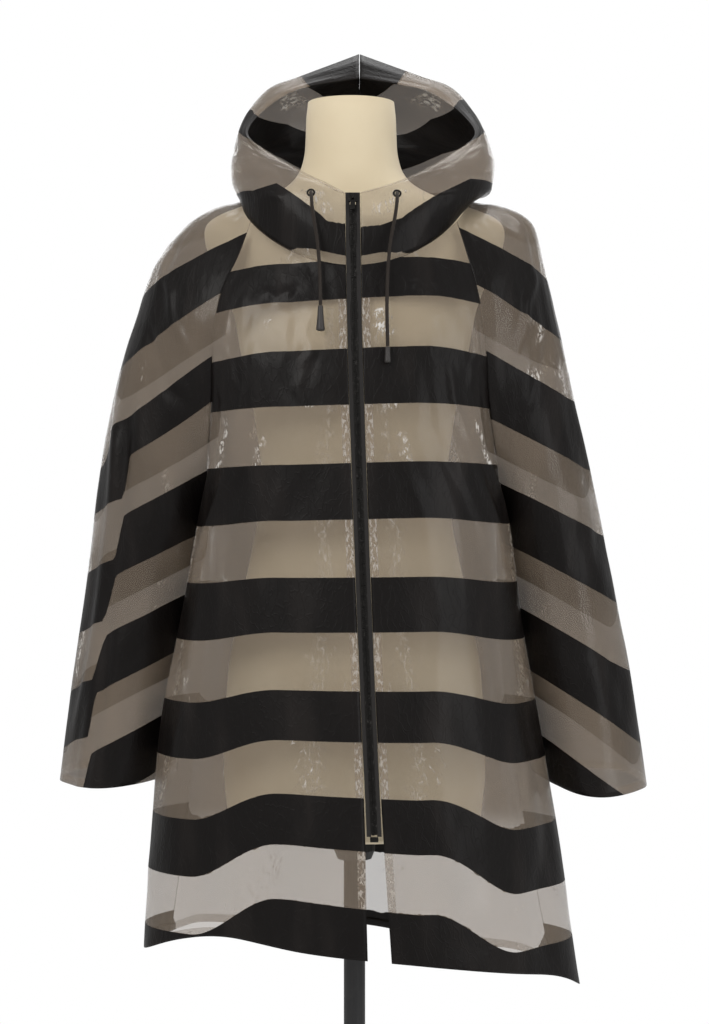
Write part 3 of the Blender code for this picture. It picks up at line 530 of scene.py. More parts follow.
backPanel = {
    "levels": [
        # centreZ, centreY, seamZ, leftX, rightX, seamY, turn
        (1.385, 0.092, 1.362, 0.135, 0.132, 0.075, 60),
        (1.33, 0.105, 1.31, 0.15, 0.142, 0.09, 62),
        (1.27, 0.11, 1.25, 0.158, 0.148, 0.095, 64),
        (1.19, 0.11, 1.18, 0.161, 0.152, 0.09, 68),
        (1.11, 0.112, 1.112, 0.166, 0.16, 0.065, 75),
        (1.03, 0.117, 1.03, 0.168, 0.166, 0.005, 85),
        (0.925, 0.125, 0.925, 0.175, 0.171, 0.03, 85),
        (0.8, 0.135, 0.8, 0.188, 0.183, 0.038, 84),
        (0.672, 0.145, 0.67, 0.201, 0.207, 0.04, 82),
        (0.606, 0.15, 0.605, 0.21, 0.221, 0.04, 82),
        (0.54, 0.155, 0.545, 0.218, 0.235, 0.04, 82),
    ],
    "folds": [
        (0.16, 0.07, 0.35, 0.012, 0.0),
        (0.33, 0.07, 0.45, -0.01, 0.0),
        (0.5, 0.08, 0.3, 0.014, 0.0),
        (0.68, 0.07, 0.45, -0.01, 0.0),
        (0.84, 0.07, 0.35, 0.012, 0.0),
    ],
}
sleeves = {
    "levels": [
        # leftX, leftZ, rightX, rightZ, y, front, back, frontTurn, backTurn, ease
        (0.165, 1.4085, 0.168, 1.4125, 0.005, 0.078, 0.07, 75, 75, 0.0),
        (0.2, 1.386, 0.207, 1.393, 0.008, 0.092, 0.084, 80, 80, 0.0),
        (0.2335, 1.343, 0.222, 1.343, 0.01, 0.098, 0.092, 85, 85, 0.0002),
        (0.2555, 1.283, 0.238, 1.277, 0.012, 0.096, 0.096, 95, 95, 0.0006),
        (0.279, 1.205, 0.2545, 1.2, 0.015, 0.086, 0.096, 120, 115, 0.0018),
        (0.2985, 1.11, 0.2755, 1.105, 0.02, 0.08, 0.094, 160, 160, 0.0035),
        (0.3175, 0.965, 0.306, 0.965, 0.03, 0.078, 0.092, 180, 180, 0.0125),
        (0.335, 0.853, 0.328, 0.85, 0.036, 0.085, 0.092, 180, 180, 0.018),
        (0.35, 0.738, 0.3463, 0.733, 0.04, 0.092, 0.092, 180, 180, 0.02),
    ],
    "inner": [
        (0.048, 0.925),
        (0.06, 0.838),
        (0.068, 0.745),
    ],
    "folds": {
        "left": [
            (0.26, 0.12, 0.6, 0.0, 0.004),
            (0.4, 0.05, 0.55, -0.01, 0.0),
            (0.62, 0.06, 0.45, 0.01, 0.0),
            (0.8, 0.05, 0.5, -0.008, 0.0),
        ],
        "right": [
            (0.24, 0.12, 0.6, 0.004, 0.012),
            (0.66, 0.06, 0.45, 0.01, 0.0),
            (0.82, 0.05, 0.5, -0.008, 0.0),
        ],
    },
}
hood = {
    "levels": [
        # edgeX, edgeY, edgeZ, sideX, sideY, sideZ, backY, backZ, turn
        (0.0085, -0.1145, 1.358, 0.154, -0.015, 1.424, 0.094, 1.43, 90),
        (0.0085, -0.11, 1.388, 0.1585, -0.012, 1.437, 0.108, 1.446, 90),
        (0.0085, -0.1022, 1.413, 0.159, -0.01, 1.451, 0.118, 1.462, 90),
        (0.0395, -0.092, 1.4256, 0.158, -0.006, 1.463, 0.125, 1.478, 86),
        (0.066, -0.08, 1.439, 0.155, 0.0, 1.474, 0.13, 1.492, 82),
        (0.103, -0.055, 1.463, 0.152, 0.008, 1.486, 0.134, 1.506, 76),
        (0.133, -0.025, 1.491, 0.147, 0.018, 1.501, 0.135, 1.52, 70),
        (0.12, 0.002, 1.52, 0.134, 0.034, 1.529, 0.134, 1.534, 60),
        (0.09, 0.014, 1.545, 0.109, 0.046, 1.559, 0.131, 1.547, 50),
        (0.062, 0.018, 1.556, 0.074, 0.056, 1.574, 0.127, 1.558, 45),
        (0.0006, 0.02, 1.566, 0.0006, 0.07, 1.604, 0.122, 1.568, 45),
    ],
    "leftScale": 0.9,
    "leftSpread": 0.08,
    "lift": 0.0032,
    "shift": 0.006,
    "shiftLevels": 5,
    "spreadLevels": 7,
    "zipLevels": 3,
    "casing": 0.009,
}


def frontSeam(level, side):
    _, seamZ, leftX, rightX, seamY, _ = fronts["levels"][level]
    return np.array([side * pick(side, leftX, rightX), seamY, seamZ])


def backSeam(level, side):
    _, _, seamZ, leftX, rightX, seamY, _ = backPanel["levels"][level]
    return np.array([side * pick(side, leftX, rightX), seamY, seamZ])


def frontPoints(side, us, vs):
    def top(t):
        edge = zipLine["edge"] / neck["halfWidth"]
        return neckline(edge + (neck["frontRaglan"] - edge) * t, side)

    def row(level):
        centreZ, *_, turn = fronts["levels"][level]
        x, y, edge = centreFront(centreZ)[0]
        centre = (x + side * edge, y, centreZ)
        seam = frontSeam(level, side)
        return lambda t: panelArc(centre, seam, math.radians(turn), t)

    count = len(fronts["levels"])
    points = loft([top] + [row(level) for level in range(count)], us, vs)
    points = addFolds(points, us, vs, fronts[pick(side, "left", "right")], -side)
    ends = [neckline(neck["frontRaglan"], side)[0]] + [frontSeam(k, side) for k in range(count)]
    return skewHem(meet(points, us, -1, seamLine(ends, vs)), vs)


def backPoints(us, vs):
    def top(t):
        span = math.pi - neck["backRaglan"]
        left = neckline(neck["backRaglan"] + span * 2 * t[t < 0.5], -1)
        right = neckline(neck["backRaglan"] + span * 2 * (1 - t[t >= 0.5]), 1)
        return np.concatenate([left, right])

    def row(level):
        centreZ, centreY, *_, turn = backPanel["levels"][level]
        centre = (0.0, centreY, centreZ)

        def curve(t):
            turned = math.radians(turn)
            left = panelArc(centre, backSeam(level, -1), turned, 1 - 2 * t[t < 0.5])
            right = panelArc(centre, backSeam(level, 1), turned, 2 * t[t >= 0.5] - 1)
            return np.concatenate([left, right])

        return curve

    count = len(backPanel["levels"])
    points = loft([top] + [row(level) for level in range(count)], us, vs)
    points = addFolds(points, us, vs, backPanel["folds"], 1)
    for edge, side in ((0, -1), (-1, 1)):
        ends = [neckline(neck["backRaglan"], side)[0]] + [backSeam(k, side) for k in range(count)]
        points = meet(points, us, edge, seamLine(ends, vs))
    return skewHem(points, vs)


def sleeveEnds(level, side):
    ease = sleeves["levels"][level][-1]
    if level <= cloth["underarm"]:
        ends = [frontSeam(level, side), backSeam(level, side)]
    else:
        innerY, innerZ = sleeves["inner"][level - cloth["underarm"] - 1]
        heights = [row[1] for row in fronts["levels"]][::-1]
        widths = [pick(side, row[2], row[3]) for row in fronts["levels"]][::-1]
        ends = [np.array([side * np.interp(innerZ, heights, widths), innerY, innerZ])] * 2
    return [end + (side * ease, 0, 0) for end in ends]


def sleevePoints(side, us, vs):
    def top(t):
        span = neck["backRaglan"] - neck["frontRaglan"]
        return neckline(neck["frontRaglan"] + span * t, side)

    def row(level):
        leftX, leftZ, rightX, rightZ, y, front, back, *turns, _ = sleeves["levels"][level]
        outer = np.array([side * pick(side, leftX, rightX), y, pick(side, leftZ, rightZ)])
        ends = sleeveEnds(level, side)

        def curve(t):
            frontHalf = t < 0.5
            frontTurn, backTurn = (math.radians(turn) for turn in turns)
            near = loopArc(outer, ends[0], -front, frontTurn, 1 - 2 * t[frontHalf])
            far = loopArc(outer, ends[1], back, backTurn, 2 * t[~frontHalf] - 1)
            return np.concatenate([near, far])

        return curve

    count = len(sleeves["levels"])
    points = loft([top] + [row(level) for level in range(count)], us, vs)
    points = addFolds(points, us, vs, sleeves["folds"][pick(side, "left", "right")], -side)
    for edge, angle in enumerate([neck["frontRaglan"], neck["backRaglan"]]):
        ends = [neckline(angle, side)[0]] + [sleeveEnds(k, side)[edge] for k in range(count)]
        points = meet(points, us, -edge, seamLine(ends, vs))
    return points


def hoodPoints(side, us, vs):
    def base(t):
        edge = zipLine["edge"] / neck["halfWidth"]
        return neckline(edge + (math.pi - edge) * t, side) + (0, 0, hood["lift"])

    def row(level):
        edgeX, edgeY, edgeZ, sideX, sideY, sideZ, backY, backZ, turn = hood["levels"][level]
        onZip = edgeX == zipLine["edge"]
        shift = hood["shift"] * min(1.0, (level + 1) / hood["shiftLevels"])
        spread = hood["leftSpread"] * min(1.0, level / hood["spreadLevels"])
        scale = pick(side, hood["leftScale"] + spread, 1.0)
        lean = centreFront(edgeZ)[0, 0] if onZip else shift
        edge = (lean + side * edgeX * (1.0 if onZip else scale), edgeY, edgeZ)
        widest = (shift + side * sideX * scale, sideY, sideZ)
        back = (shift, backY, backZ)

        def curve(t):
            near = sideArc(widest, edge, math.radians(turn), 1 - 2 * t[t < 0.5])
            far = sideArc(widest, back, math.radians(90), 2 * t[t >= 0.5] - 1)
            return np.concatenate([near, far])

        return curve

    curves = [base] + [row(level) for level in range(len(hood["levels"]))]
    points = loft(curves, us, vs)
    edges = [curve(np.zeros(1))[0] for curve in curves]
    return meet(points, us, 0, seamLine(edges, vs, hood["zipLevels"]))


# ---- stripes: even numbers are edges from black to clear film, odd ones from clear to black
stripes = {
    "body": [1.4, 1.337, 1.2925, 1.236, 1.1735, 1.1088, 1.0464, 0.9825, 0.922, 0.8577,
             0.8024, 0.742, 0.6847, 0.6227, 0.562, 0.5],
    "heights": [0.622, 0.685, 0.742, 0.8, 0.857, 0.92, 0.98, 1.046, 1.11, 1.17, 1.236, 1.29],
    "sideDrop": [0.049, 0.04, 0.032, 0.024, 0.016, 0.012, 0.008, 0.007, 0.003, 0.005, 0.013, 0.012],
    "tilt": [0.0078, 0.005, 0.003, 0.0011, 0.0006, -0.0005, -0.0005, -0.0016, -0.002, -0.002,
             -0.003, -0.004],
    "tiltWidth": 0.07,
    "dropStart": 0.085,
    "dropEnd": 0.185,
    "sleeveLeft": [1.397, 1.3292, 1.2653, 1.1973, 1.1475, 1.08, 1.0142, 0.9521, 0.8908, 0.8252,
                   0.763, 0.7, 0.64],
    "sleeveRight": [1.401, 1.3327, 1.2706, 1.2046, 1.1334, 1.0671, 1.0002, 0.9336, 0.8668, 0.7993,
                    0.733, 0.667, 0.6],
    "sleeveAt": 0.21,
    "slopeHeights": [0.75, 0.85, 1.0, 1.1, 1.2, 1.3, 1.36],
    "slopeLeft": [0.52, 0.5, 0.5, 0.55, 0.72, 0.62, 0.5],
    "slopeRight": [0.7, 0.6, 0.52, 0.49, 0.5, 0.58, 0.51],
    "behind": 0.03,
    # the left sleeve's outer fold: where it starts down the sleeve, and its bands' drop
    "foldV": [0.56, 0.665, 0.74, 0.8, 0.875, 1.0],
    "foldU": [0.295, 0.305, 0.32, 0.335, 0.335, 0.325],
    "foldDrop": 0.045,
    "matchSkip": 3,
    "matchCount": 6,
    "matchEase": 0.002,
    "hoodAcross": [0.0, 0.05, 0.1, 0.2, 0.3, 0.43, 0.6, 0.77, 0.87, 1.0],
    "hoodLeft": [
        [0.028, 0.026, 0.02, -0.01, -0.03, -0.03, -0.03, -0.03, -0.03, -0.03],
        [0.145, 0.125, 0.16, 0.225, 0.13, 0.085, 0.1, 0.12, 0.13, 0.14],
        [0.6, 0.605, 0.61, 0.62, 0.63, 0.64, 0.64, 0.5, 0.34, 0.2],
        [0.72, 0.72, 0.72, 0.73, 0.73, 0.73, 0.73, 0.717, 0.67, 0.62],
        [0.912, 0.91, 0.91, 0.91, 0.91, 0.91, 0.908, 0.9, 0.88, 0.87],
    ],
    "hoodRight": [
        [0.028, 0.026, 0.01, -0.01, -0.03, -0.03, -0.03, -0.03, -0.03, -0.03],
        [0.135, 0.11, 0.107, 0.167, 0.217, 0.175, 0.18, 0.18, 0.18, 0.18],
        [0.6, 0.605, 0.61, 0.62, 0.63, 0.64, 0.65, 0.53, 0.39, 0.24],
        [0.76, 0.762, 0.765, 0.77, 0.77, 0.77, 0.77, 0.74, 0.67, 0.62],
        [0.938, 0.937, 0.936, 0.935, 0.935, 0.934, 0.933, 0.933, 0.925, 0.9],
    ],
}


def countEdges(heights, edges):
    return np.interp(-heights, -np.array(edges), np.arange(len(edges)))


def bodyStripes(points):
    x, z = points[:, :, 0], points[:, :, 2]
    drop = np.interp(z, stripes["heights"], stripes["sideDrop"])
    drop = drop * softStep(np.abs(x), stripes["dropStart"], stripes["dropEnd"])
    tilt = np.interp(z, stripes["heights"], stripes["tilt"])
    tilt = tilt * np.clip(x / stripes["tiltWidth"], -1, 1)
    return countEdges(z + drop + tilt, stripes["body"])


# the back's bands follow on behind the fronts', as they are seen through them
def backStripes(points, frontPanels):
    reach = studio["cameraDistance"]
    eye = studio["cameraHeight"]

    def seen(spot):
        near = reach / (reach + spot[1])
        return Vector((spot[0] * near, (spot[2] - eye) * near, 0.0))

    skip = stripes["matchSkip"]
    spots = np.concatenate([spots[::skip, ::skip].reshape(-1, 3) for _, spots, _ in frontPanels])
    counts = np.concatenate([values["stripe"][::skip, ::skip].ravel() for *_, values in frontPanels])
    tree = kdtree.KDTree(len(spots))
    for index, spot in enumerate(spots):
        tree.insert(seen(spot), index)
    tree.balance()
    found = np.zeros(points.shape[:2])
    for row, column in np.ndindex(found.shape):
        close = tree.find_n(seen(points[row, column]), stripes["matchCount"])
        weights = [1 / (distance + stripes["matchEase"]) ** 2 for _, _, distance in close]
        total = sum(weight * counts[index] for weight, (_, index, _) in zip(weights, close))
        found[row, column] = total / sum(weights)
    return found


def sleeveStripes(points, side, us, vs):
    x, z = np.abs(points[:, :, 0]), points[:, :, 2]
    slope = np.interp(z, stripes["slopeHeights"], stripes[pick(side, "slopeLeft", "slopeRight")])
    behind = stripes["behind"] * softStep(us, 0.46, 0.6)[None, :]
    height = z + slope * (x - stripes["sleeveAt"]) + behind
    if side < 0:
        fold = np.interp(vs, stripes["foldV"], stripes["foldU"])[:, None]
        past = softStep(us[None, :] - fold, -0.006, 0.01) * (1 - softStep(us, 0.5, 0.62)[None, :])
        height = height + stripes["foldDrop"] * past * softStep(vs, 0.6, 0.68)[:, None]
    return countEdges(height, stripes[pick(side, "sleeveLeft", "sleeveRight")])


def hoodStripes(side, us, vs):
    table = stripes[pick(side, "hoodLeft", "hoodRight")]
    edges = np.array([np.interp(us, stripes["hoodAcross"], row) for row in table])
    return np.array([
        [np.interp(v, [-0.2, *edges[:, k], 1.2], [0, 1, 2, 3, 4, 5, 6]) for k in range(len(us))]
        for v in vs
    ])


# ---- creases: soft uneven troughs and ridges, laid one by one on each panel
def alongLine(across, down, size, startU, startV, endU, endV):
    x0, y0 = startU * size[0], startV * size[1]
    x1, y1 = endU * size[0], endV * size[1]
    length = math.hypot(x1 - x0, y1 - y0)
    ux, uy = (x1 - x0) / length, (y1 - y0) / length
    t = ((across - x0) * ux + (down - y0) * uy) / length
    return t, (across - x0) * -uy + (down - y0) * ux


def creased(points, us, vs, sign, creases, size):
    across, down = np.meshgrid(us * size[0], vs * size[1])
    push = np.zeros_like(across)
    for startU, startV, endU, endV, width, depth in creases:
        t, off = alongLine(across, down, size, startU, startV, endU, endV)
        waver = 0.5 * width * np.sin(t * 7.0 + startU * 40.0) + 0.25 * width * np.sin(t * 17.0)
        off = (off + waver) / width
        swell = softStep(t, -0.12, 0.25) * (1 - softStep(t, 0.75, 1.12))
        swell = swell * (0.8 + 0.3 * np.sin(t * 11.0 + endV * 30.0))
        push += depth * swell * (np.exp(-(off ** 2)) - 0.35 * np.exp(-((off / 2.2) ** 2)))
    rim = softStep(us, 0.0, 0.06) * (1 - softStep(us, 0.94, 1.0))
    rim = rim[None, :] * softStep(vs, 0.0, 0.04)[:, None]
    ripple = np.array([
        [noise.noise(Vector((x * 22.0, y * 9.0, sign * 3.1))) +
         0.5 * noise.noise(Vector((x * 60.0, y * 30.0, 7.7 + sign)))
         for x, y in zip(rowX, rowY)]
        for rowX, rowY in zip(across, down)
    ])
    push = (push + cloth["ripple"] * ripple) * rim
    return lifted(points, sign * push[:, :, None])


# where the painted glints lie: streaks along given lines, each with its amount
def paintedGlintSpots(us, vs, streaks, size):
    across, down = np.meshgrid(us * size[0], vs * size[1])
    found = np.zeros_like(across)
    for startU, startV, endU, endV, width, amount in streaks:
        t, off = alongLine(across, down, size, startU, startV, endU, endV)
        off = off / width + 0.4 * np.sin(t * 13.0 + startU * 20.0)
        ends = softStep(t, -0.05, 0.05) * (1 - softStep(t, 0.95, 1.05))
        found += amount * np.exp(-(off ** 2)) * ends
    return np.clip(found, 0, 1)


def makeSheet(name, points, values, material, wall, nodes=()):
    rows, columns, _ = points.shape
    work = bmesh.new()
    bmesh.ops.create_grid(work, x_segments=columns - 1, y_segments=rows - 1, size=1.0, calc_uvs=False)
    work.verts.ensure_lookup_table()
    paper = work.loops.layers.uv.new("cloth")
    across = np.concatenate([np.zeros((rows, 1)), np.cumsum(
        np.linalg.norm(np.diff(points, axis=1), axis=2), axis=1)], 1)
    down = np.concatenate([[0], np.cumsum(np.linalg.norm(np.diff(
        points[:, columns // 2], axis=0), axis=1))])
    layers = {key: work.verts.layers.float.new(key) for key in values}
    for index, vert in enumerate(work.verts):
        row, column = divmod(index, columns)
        vert.co = points[row, column]
        for key, layer in layers.items():
            vert[layer] = values[key][row, column]
    for face in work.faces:
        for loop in face.loops:
            row, column = divmod(loop.vert.index, columns)
            loop[paper].uv = (across[row, column], down[row])
    piece = finishPiece(name, work, material)
    shell = piece.modifiers.new("wall", "SOLIDIFY")
    shell.thickness = wall
    shell.offset = 0.0
    shell.use_even_offset = False
    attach(piece, coatBody)
    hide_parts(*nodes)
    return piece


def drawBack(points, rows, columns, inset):
    moved = points.copy()
    for edge, inner in ((0, 1), (-1, -2)):
        if edge in rows:
            step = points[inner] - points[edge]
            moved[edge] += inset * step / np.linalg.norm(step[:, :3], axis=1, keepdims=True)
        if edge in columns:
            step = points[:, inner] - points[:, edge]
            moved[:, edge] += inset * step / np.linalg.norm(step[:, :3], axis=1, keepdims=True)
    return moved


def edgeBand(points, near, far, count):
    found = []
    for row in points:
        steps = np.linalg.norm(np.diff(row[:, :3], axis=0), axis=1)
        length = np.concatenate([[0], np.cumsum(steps)])
        spots = np.linspace(near, far, count)
        found.append(np.stack([np.interp(spots, length, row[:, k]) for k in range(row.shape[1])], 1))
    return np.stack(found)


def flatSize(points):
    widths = np.linalg.norm(np.diff(points, axis=1), axis=2).sum(1)
    lengths = np.linalg.norm(np.diff(points, axis=0), axis=2).sum(0)
    corner = points[:-1, :-1]
    cells = np.linalg.norm(np.cross(points[1:, :-1] - corner, points[:-1, 1:] - corner), axis=2)
    return float(widths.max()), float(lengths.max()), float(cells.sum())


def declareSheet(piece, points):
    width, length, area = flatSize(points)
    width, length = math.ceil(width * 100) / 100, math.ceil(length * 100) / 100
    print(f"{piece.name}: cut {width:.2f} by {length:.2f}, area {area:.3f}")


panels = {
    "front": {
        "grid": (91, 231),
        "size": (0.26, 0.8),
        "left": [
            # start u, v, end u, v, width, depth
            (0.62, 0.3, 0.66, 0.62, 0.01, 0.003),
            (0.46, 0.34, 0.5, 0.7, 0.014, -0.0028),
            (0.8, 0.42, 0.74, 0.86, 0.012, 0.0042),
            (0.3, 0.4, 0.27, 0.78, 0.012, 0.0022),
            (0.16, 0.46, 0.2, 0.92, 0.016, -0.0026),
            (0.56, 0.6, 0.5, 0.96, 0.016, 0.004),
            (0.9, 0.2, 0.7, 0.34, 0.009, 0.0026),
            (0.92, 0.34, 0.72, 0.42, 0.01, -0.0024),
            (0.34, 0.1, 0.62, 0.14, 0.01, 0.0022),
            (0.22, 0.2, 0.26, 0.34, 0.009, 0.002),
        ],
        "right": [
            (0.58, 0.26, 0.62, 0.6, 0.011, 0.003),
            (0.4, 0.3, 0.42, 0.66, 0.013, -0.0026),
            (0.78, 0.44, 0.82, 0.88, 0.013, 0.0044),
            (0.22, 0.34, 0.2, 0.7, 0.01, 0.0022),
            (0.3, 0.62, 0.26, 0.95, 0.018, 0.0034),
            (0.6, 0.66, 0.56, 0.96, 0.015, -0.0034),
            (0.92, 0.22, 0.74, 0.33, 0.009, 0.0026),
            (0.9, 0.36, 0.7, 0.46, 0.01, -0.0022),
            (0.3, 0.08, 0.6, 0.12, 0.01, 0.0022),
            (0.48, 0.16, 0.46, 0.3, 0.009, 0.0018),
        ],
        # where the painted glints lie on each front
        "glintSpotsLeft": [
            # start u, v, end u, v, width, amount
            (0.1, 0.12, 0.1, 0.8, 0.01, 0.35),
            (0.62, 0.27, 0.6, 0.34, 0.016, 0.75),
            (0.2, 0.27, 0.22, 0.35, 0.01, 0.85),
            (0.74, 0.38, 0.72, 0.47, 0.008, 0.9),
            (0.44, 0.4, 0.46, 0.46, 0.006, 0.6),
            (0.8, 0.5, 0.78, 0.6, 0.008, 0.9),
            (0.84, 0.64, 0.84, 0.8, 0.008, 0.8),
            (0.5, 0.18, 0.55, 0.22, 0.006, 0.6),
        ],
        "glintSpotsRight": [
            (0.1, 0.12, 0.1, 0.8, 0.01, 0.35),
            (0.14, 0.14, 0.16, 0.21, 0.014, 0.7),
            (0.2, 0.27, 0.18, 0.35, 0.012, 0.7),
            (0.62, 0.27, 0.64, 0.34, 0.014, 0.7),
            (0.2, 0.39, 0.21, 0.46, 0.007, 0.6),
            (0.74, 0.38, 0.76, 0.47, 0.007, 0.85),
            (0.82, 0.5, 0.85, 0.6, 0.006, 0.85),
            (0.86, 0.64, 0.9, 0.72, 0.01, 0.85),
            (0.88, 0.8, 0.9, 0.88, 0.006, 0.6),
        ],
    },
    "back": {
        "grid": (151, 201),
        "size": (0.52, 0.88),
        "creases": [
            (0.18, 0.3, 0.16, 0.8, 0.016, 0.004),
            (0.32, 0.36, 0.35, 0.92, 0.018, -0.004),
            (0.48, 0.26, 0.52, 0.86, 0.016, 0.0042),
            (0.66, 0.36, 0.62, 0.94, 0.018, -0.004),
            (0.82, 0.3, 0.85, 0.82, 0.016, 0.004),
            (0.08, 0.3, 0.26, 0.42, 0.01, 0.0028),
            (0.92, 0.3, 0.74, 0.42, 0.01, 0.0028),
            (0.3, 0.1, 0.7, 0.11, 0.012, 0.0022),
            (0.42, 0.18, 0.44, 0.4, 0.01, 0.002),
            (0.58, 0.16, 0.57, 0.36, 0.01, -0.002),
        ],
        # where the painted glints lie on the back
        "glintSpots": [
            (0.2, 0.3, 0.18, 0.42, 0.012, 0.7),
            (0.5, 0.44, 0.52, 0.56, 0.012, 0.75),
            (0.8, 0.34, 0.82, 0.48, 0.012, 0.7),
            (0.36, 0.62, 0.35, 0.78, 0.01, 0.75),
            (0.66, 0.66, 0.64, 0.84, 0.01, 0.75),
            (0.3, 0.16, 0.34, 0.24, 0.014, 0.6),
        ],
    },
    "sleeve": {
        "grid": (151, 171),
        "size": (0.4, 0.72),
        "left": [
            (0.3, 0.56, 0.335, 1.05, 0.01, -0.0075),
            (0.37, 0.52, 0.39, 1.05, 0.013, 0.006),
            (0.1, 0.4, 0.4, 0.3, 0.012, 0.0036),
            (0.08, 0.5, 0.36, 0.44, 0.012, -0.0032),
            (0.22, 0.14, 0.3, 0.4, 0.012, 0.0028),
            (0.34, 0.2, 0.24, 0.52, 0.013, -0.003),
            (0.2, 0.6, 0.28, 0.9, 0.016, 0.0034),
            (0.66, 0.3, 0.72, 0.8, 0.016, 0.004),
            (0.84, 0.42, 0.78, 0.9, 0.014, -0.0036),
            (0.58, 0.2, 0.62, 0.6, 0.014, 0.0028),
        ],
        "right": [
            (0.42, 0.46, 0.44, 0.96, 0.014, 0.0036),
            (0.1, 0.42, 0.38, 0.3, 0.012, 0.0036),
            (0.08, 0.52, 0.34, 0.46, 0.012, -0.0032),
            (0.24, 0.12, 0.3, 0.4, 0.012, 0.0028),
            (0.36, 0.18, 0.26, 0.5, 0.013, -0.003),
            (0.3, 0.66, 0.4, 0.78, 0.018, 0.005),
            (0.26, 0.8, 0.4, 0.9, 0.016, -0.0044),
            (0.66, 0.3, 0.72, 0.8, 0.016, 0.004),
            (0.84, 0.42, 0.78, 0.9, 0.014, -0.0036),
            (0.58, 0.2, 0.62, 0.6, 0.014, 0.0028),
        ],
        # where the painted glints lie on each sleeve
        "glintSpotsLeft": [
            (0.3, 0.36, 0.32, 0.45, 0.018, 0.8),
            (0.36, 0.34, 0.3, 0.36, 0.006, 0.7),
            (0.45, 0.52, 0.44, 0.62, 0.005, 0.6),
            (0.46, 0.74, 0.45, 0.88, 0.005, 0.8),
            (0.66, 0.36, 0.68, 0.5, 0.012, 0.7),
            (0.8, 0.6, 0.78, 0.76, 0.012, 0.7),
        ],
        "glintSpotsRight": [
            (0.24, 0.32, 0.28, 0.44, 0.018, 0.8),
            (0.16, 0.46, 0.22, 0.56, 0.02, 0.8),
            (0.34, 0.5, 0.36, 0.56, 0.01, 0.65),
            (0.4, 0.72, 0.44, 0.78, 0.01, 0.7),
            (0.42, 0.88, 0.4, 0.94, 0.008, 0.7),
            (0.66, 0.36, 0.68, 0.5, 0.012, 0.7),
            (0.8, 0.6, 0.78, 0.76, 0.012, 0.7),
        ],
    },
    "hood": {
        "grid": (131, 141),
        "size": (0.34, 0.34),
        "left": [
            (0.06, 0.4, 0.3, 0.22, 0.01, 0.0028),
            (0.14, 0.34, 0.4, 0.14, 0.01, -0.0026),
            (0.05, 0.24, 0.34, 0.06, 0.01, 0.0024),
            (0.2, 0.56, 0.44, 0.4, 0.012, 0.0024),
            (0.52, 0.3, 0.8, 0.24, 0.014, 0.003),
            (0.56, 0.52, 0.9, 0.5, 0.014, -0.0026),
            (0.6, 0.76, 0.92, 0.84, 0.012, 0.0024),
            (0.7, 0.1, 0.74, 0.6, 0.012, 0.0022),
        ],
        "right": [
            (0.06, 0.38, 0.32, 0.22, 0.01, 0.003),
            (0.12, 0.3, 0.4, 0.2, 0.01, -0.0028),
            (0.05, 0.22, 0.34, 0.08, 0.01, 0.0024),
            (0.2, 0.54, 0.44, 0.38, 0.012, 0.0024),
            (0.52, 0.3, 0.8, 0.26, 0.014, 0.003),
            (0.56, 0.5, 0.9, 0.48, 0.014, -0.0026),
            (0.6, 0.78, 0.92, 0.86, 0.012, 0.0024),
            (0.72, 0.12, 0.7, 0.6, 0.012, 0.0022),
        ],
        # where the painted glints lie on the hood
        "glintSpots": [
            (0.6, 0.84, 0.8, 0.8, 0.016, 0.45),
            (0.7, 0.78, 0.74, 0.86, 0.014, 0.5),
            (0.1, 0.03, 0.3, 0.0, 0.006, 0.6),
            (0.04, 0.16, 0.1, 0.24, 0.01, 0.6),
            (0.5, 0.24, 0.6, 0.36, 0.014, 0.6),
        ],
    },
}


def gridOf(spec):
    return np.linspace(0, 1, spec["grid"][0]), np.linspace(0, 1, spec["grid"][1])


def makePanels(material):
    made = {}

    def addPanel(name, nodeName, points, stripe, glintSpots, creases, spec, sign, columns):
        us, vs = gridOf(spec)
        values = {"stripe": stripe, "glintSpots": paintedGlintSpots(us, vs, glintSpots, spec["size"])}
        points = creased(points, us, vs, sign, creases, spec["size"])
        points = drawBack(points, [0], columns, -cloth["lap"])
        if spec is panels["hood"]:
            points = drawBack(points, [0], [], -hood["lift"])
        piece = makeSheet(name, points, values, material, cloth["wall"], [nodeName])
        made[name] = (piece, points, values)

    spec = panels["front"]
    for name, side in sides.items():
        points = frontPoints(side, *gridOf(spec))
        addPanel(f"front_panel_{name}", f"front_{name}", points, bodyStripes(points),
                 spec["glintSpots" + name.title()], spec[name], spec, -side, [-1])
    spec = panels["back"]
    points = backPoints(*gridOf(spec))
    stripe = backStripes(points, [made[f"front_panel_{name}"] for name in sides])
    addPanel("back_panel", "back", points, stripe, spec["glintSpots"], spec["creases"], spec, 1, [0, -1])
    spec = panels["sleeve"]
    us, vs = gridOf(spec)
    for name, side in sides.items():
        points = sleevePoints(side, us, vs)
        addPanel(f"sleeve_panel_{name}", f"sleeve_{name}", points, sleeveStripes(points, side, us, vs),
                 spec["glintSpots" + name.title()], spec[name], spec, -side, [0, -1])
    spec = panels["hood"]
    us, vs = gridOf(spec)
    for name, side in sides.items():
        points = hoodPoints(side, us, vs)
        points[:, -1, 1:] = points[:, -2, 1:]  # the crown seam lies flat
        addPanel(f"hood_panel_{name}", f"hood_{name}", points, hoodStripes(side, us, vs),
                 spec["glintSpots"], spec[name], spec, side, [-1])
    print("panels made")
    return made


# ---- doubled strips: each follows its panel's own cloth, on the inside
inside = cloth["wall"] / 2 + cloth["gap"] + cloth["trimWall"] / 2


def layered(points, values):
    return np.concatenate([points] + [values[key][:, :, None] for key in ("stripe", "glintSpots")], 2)


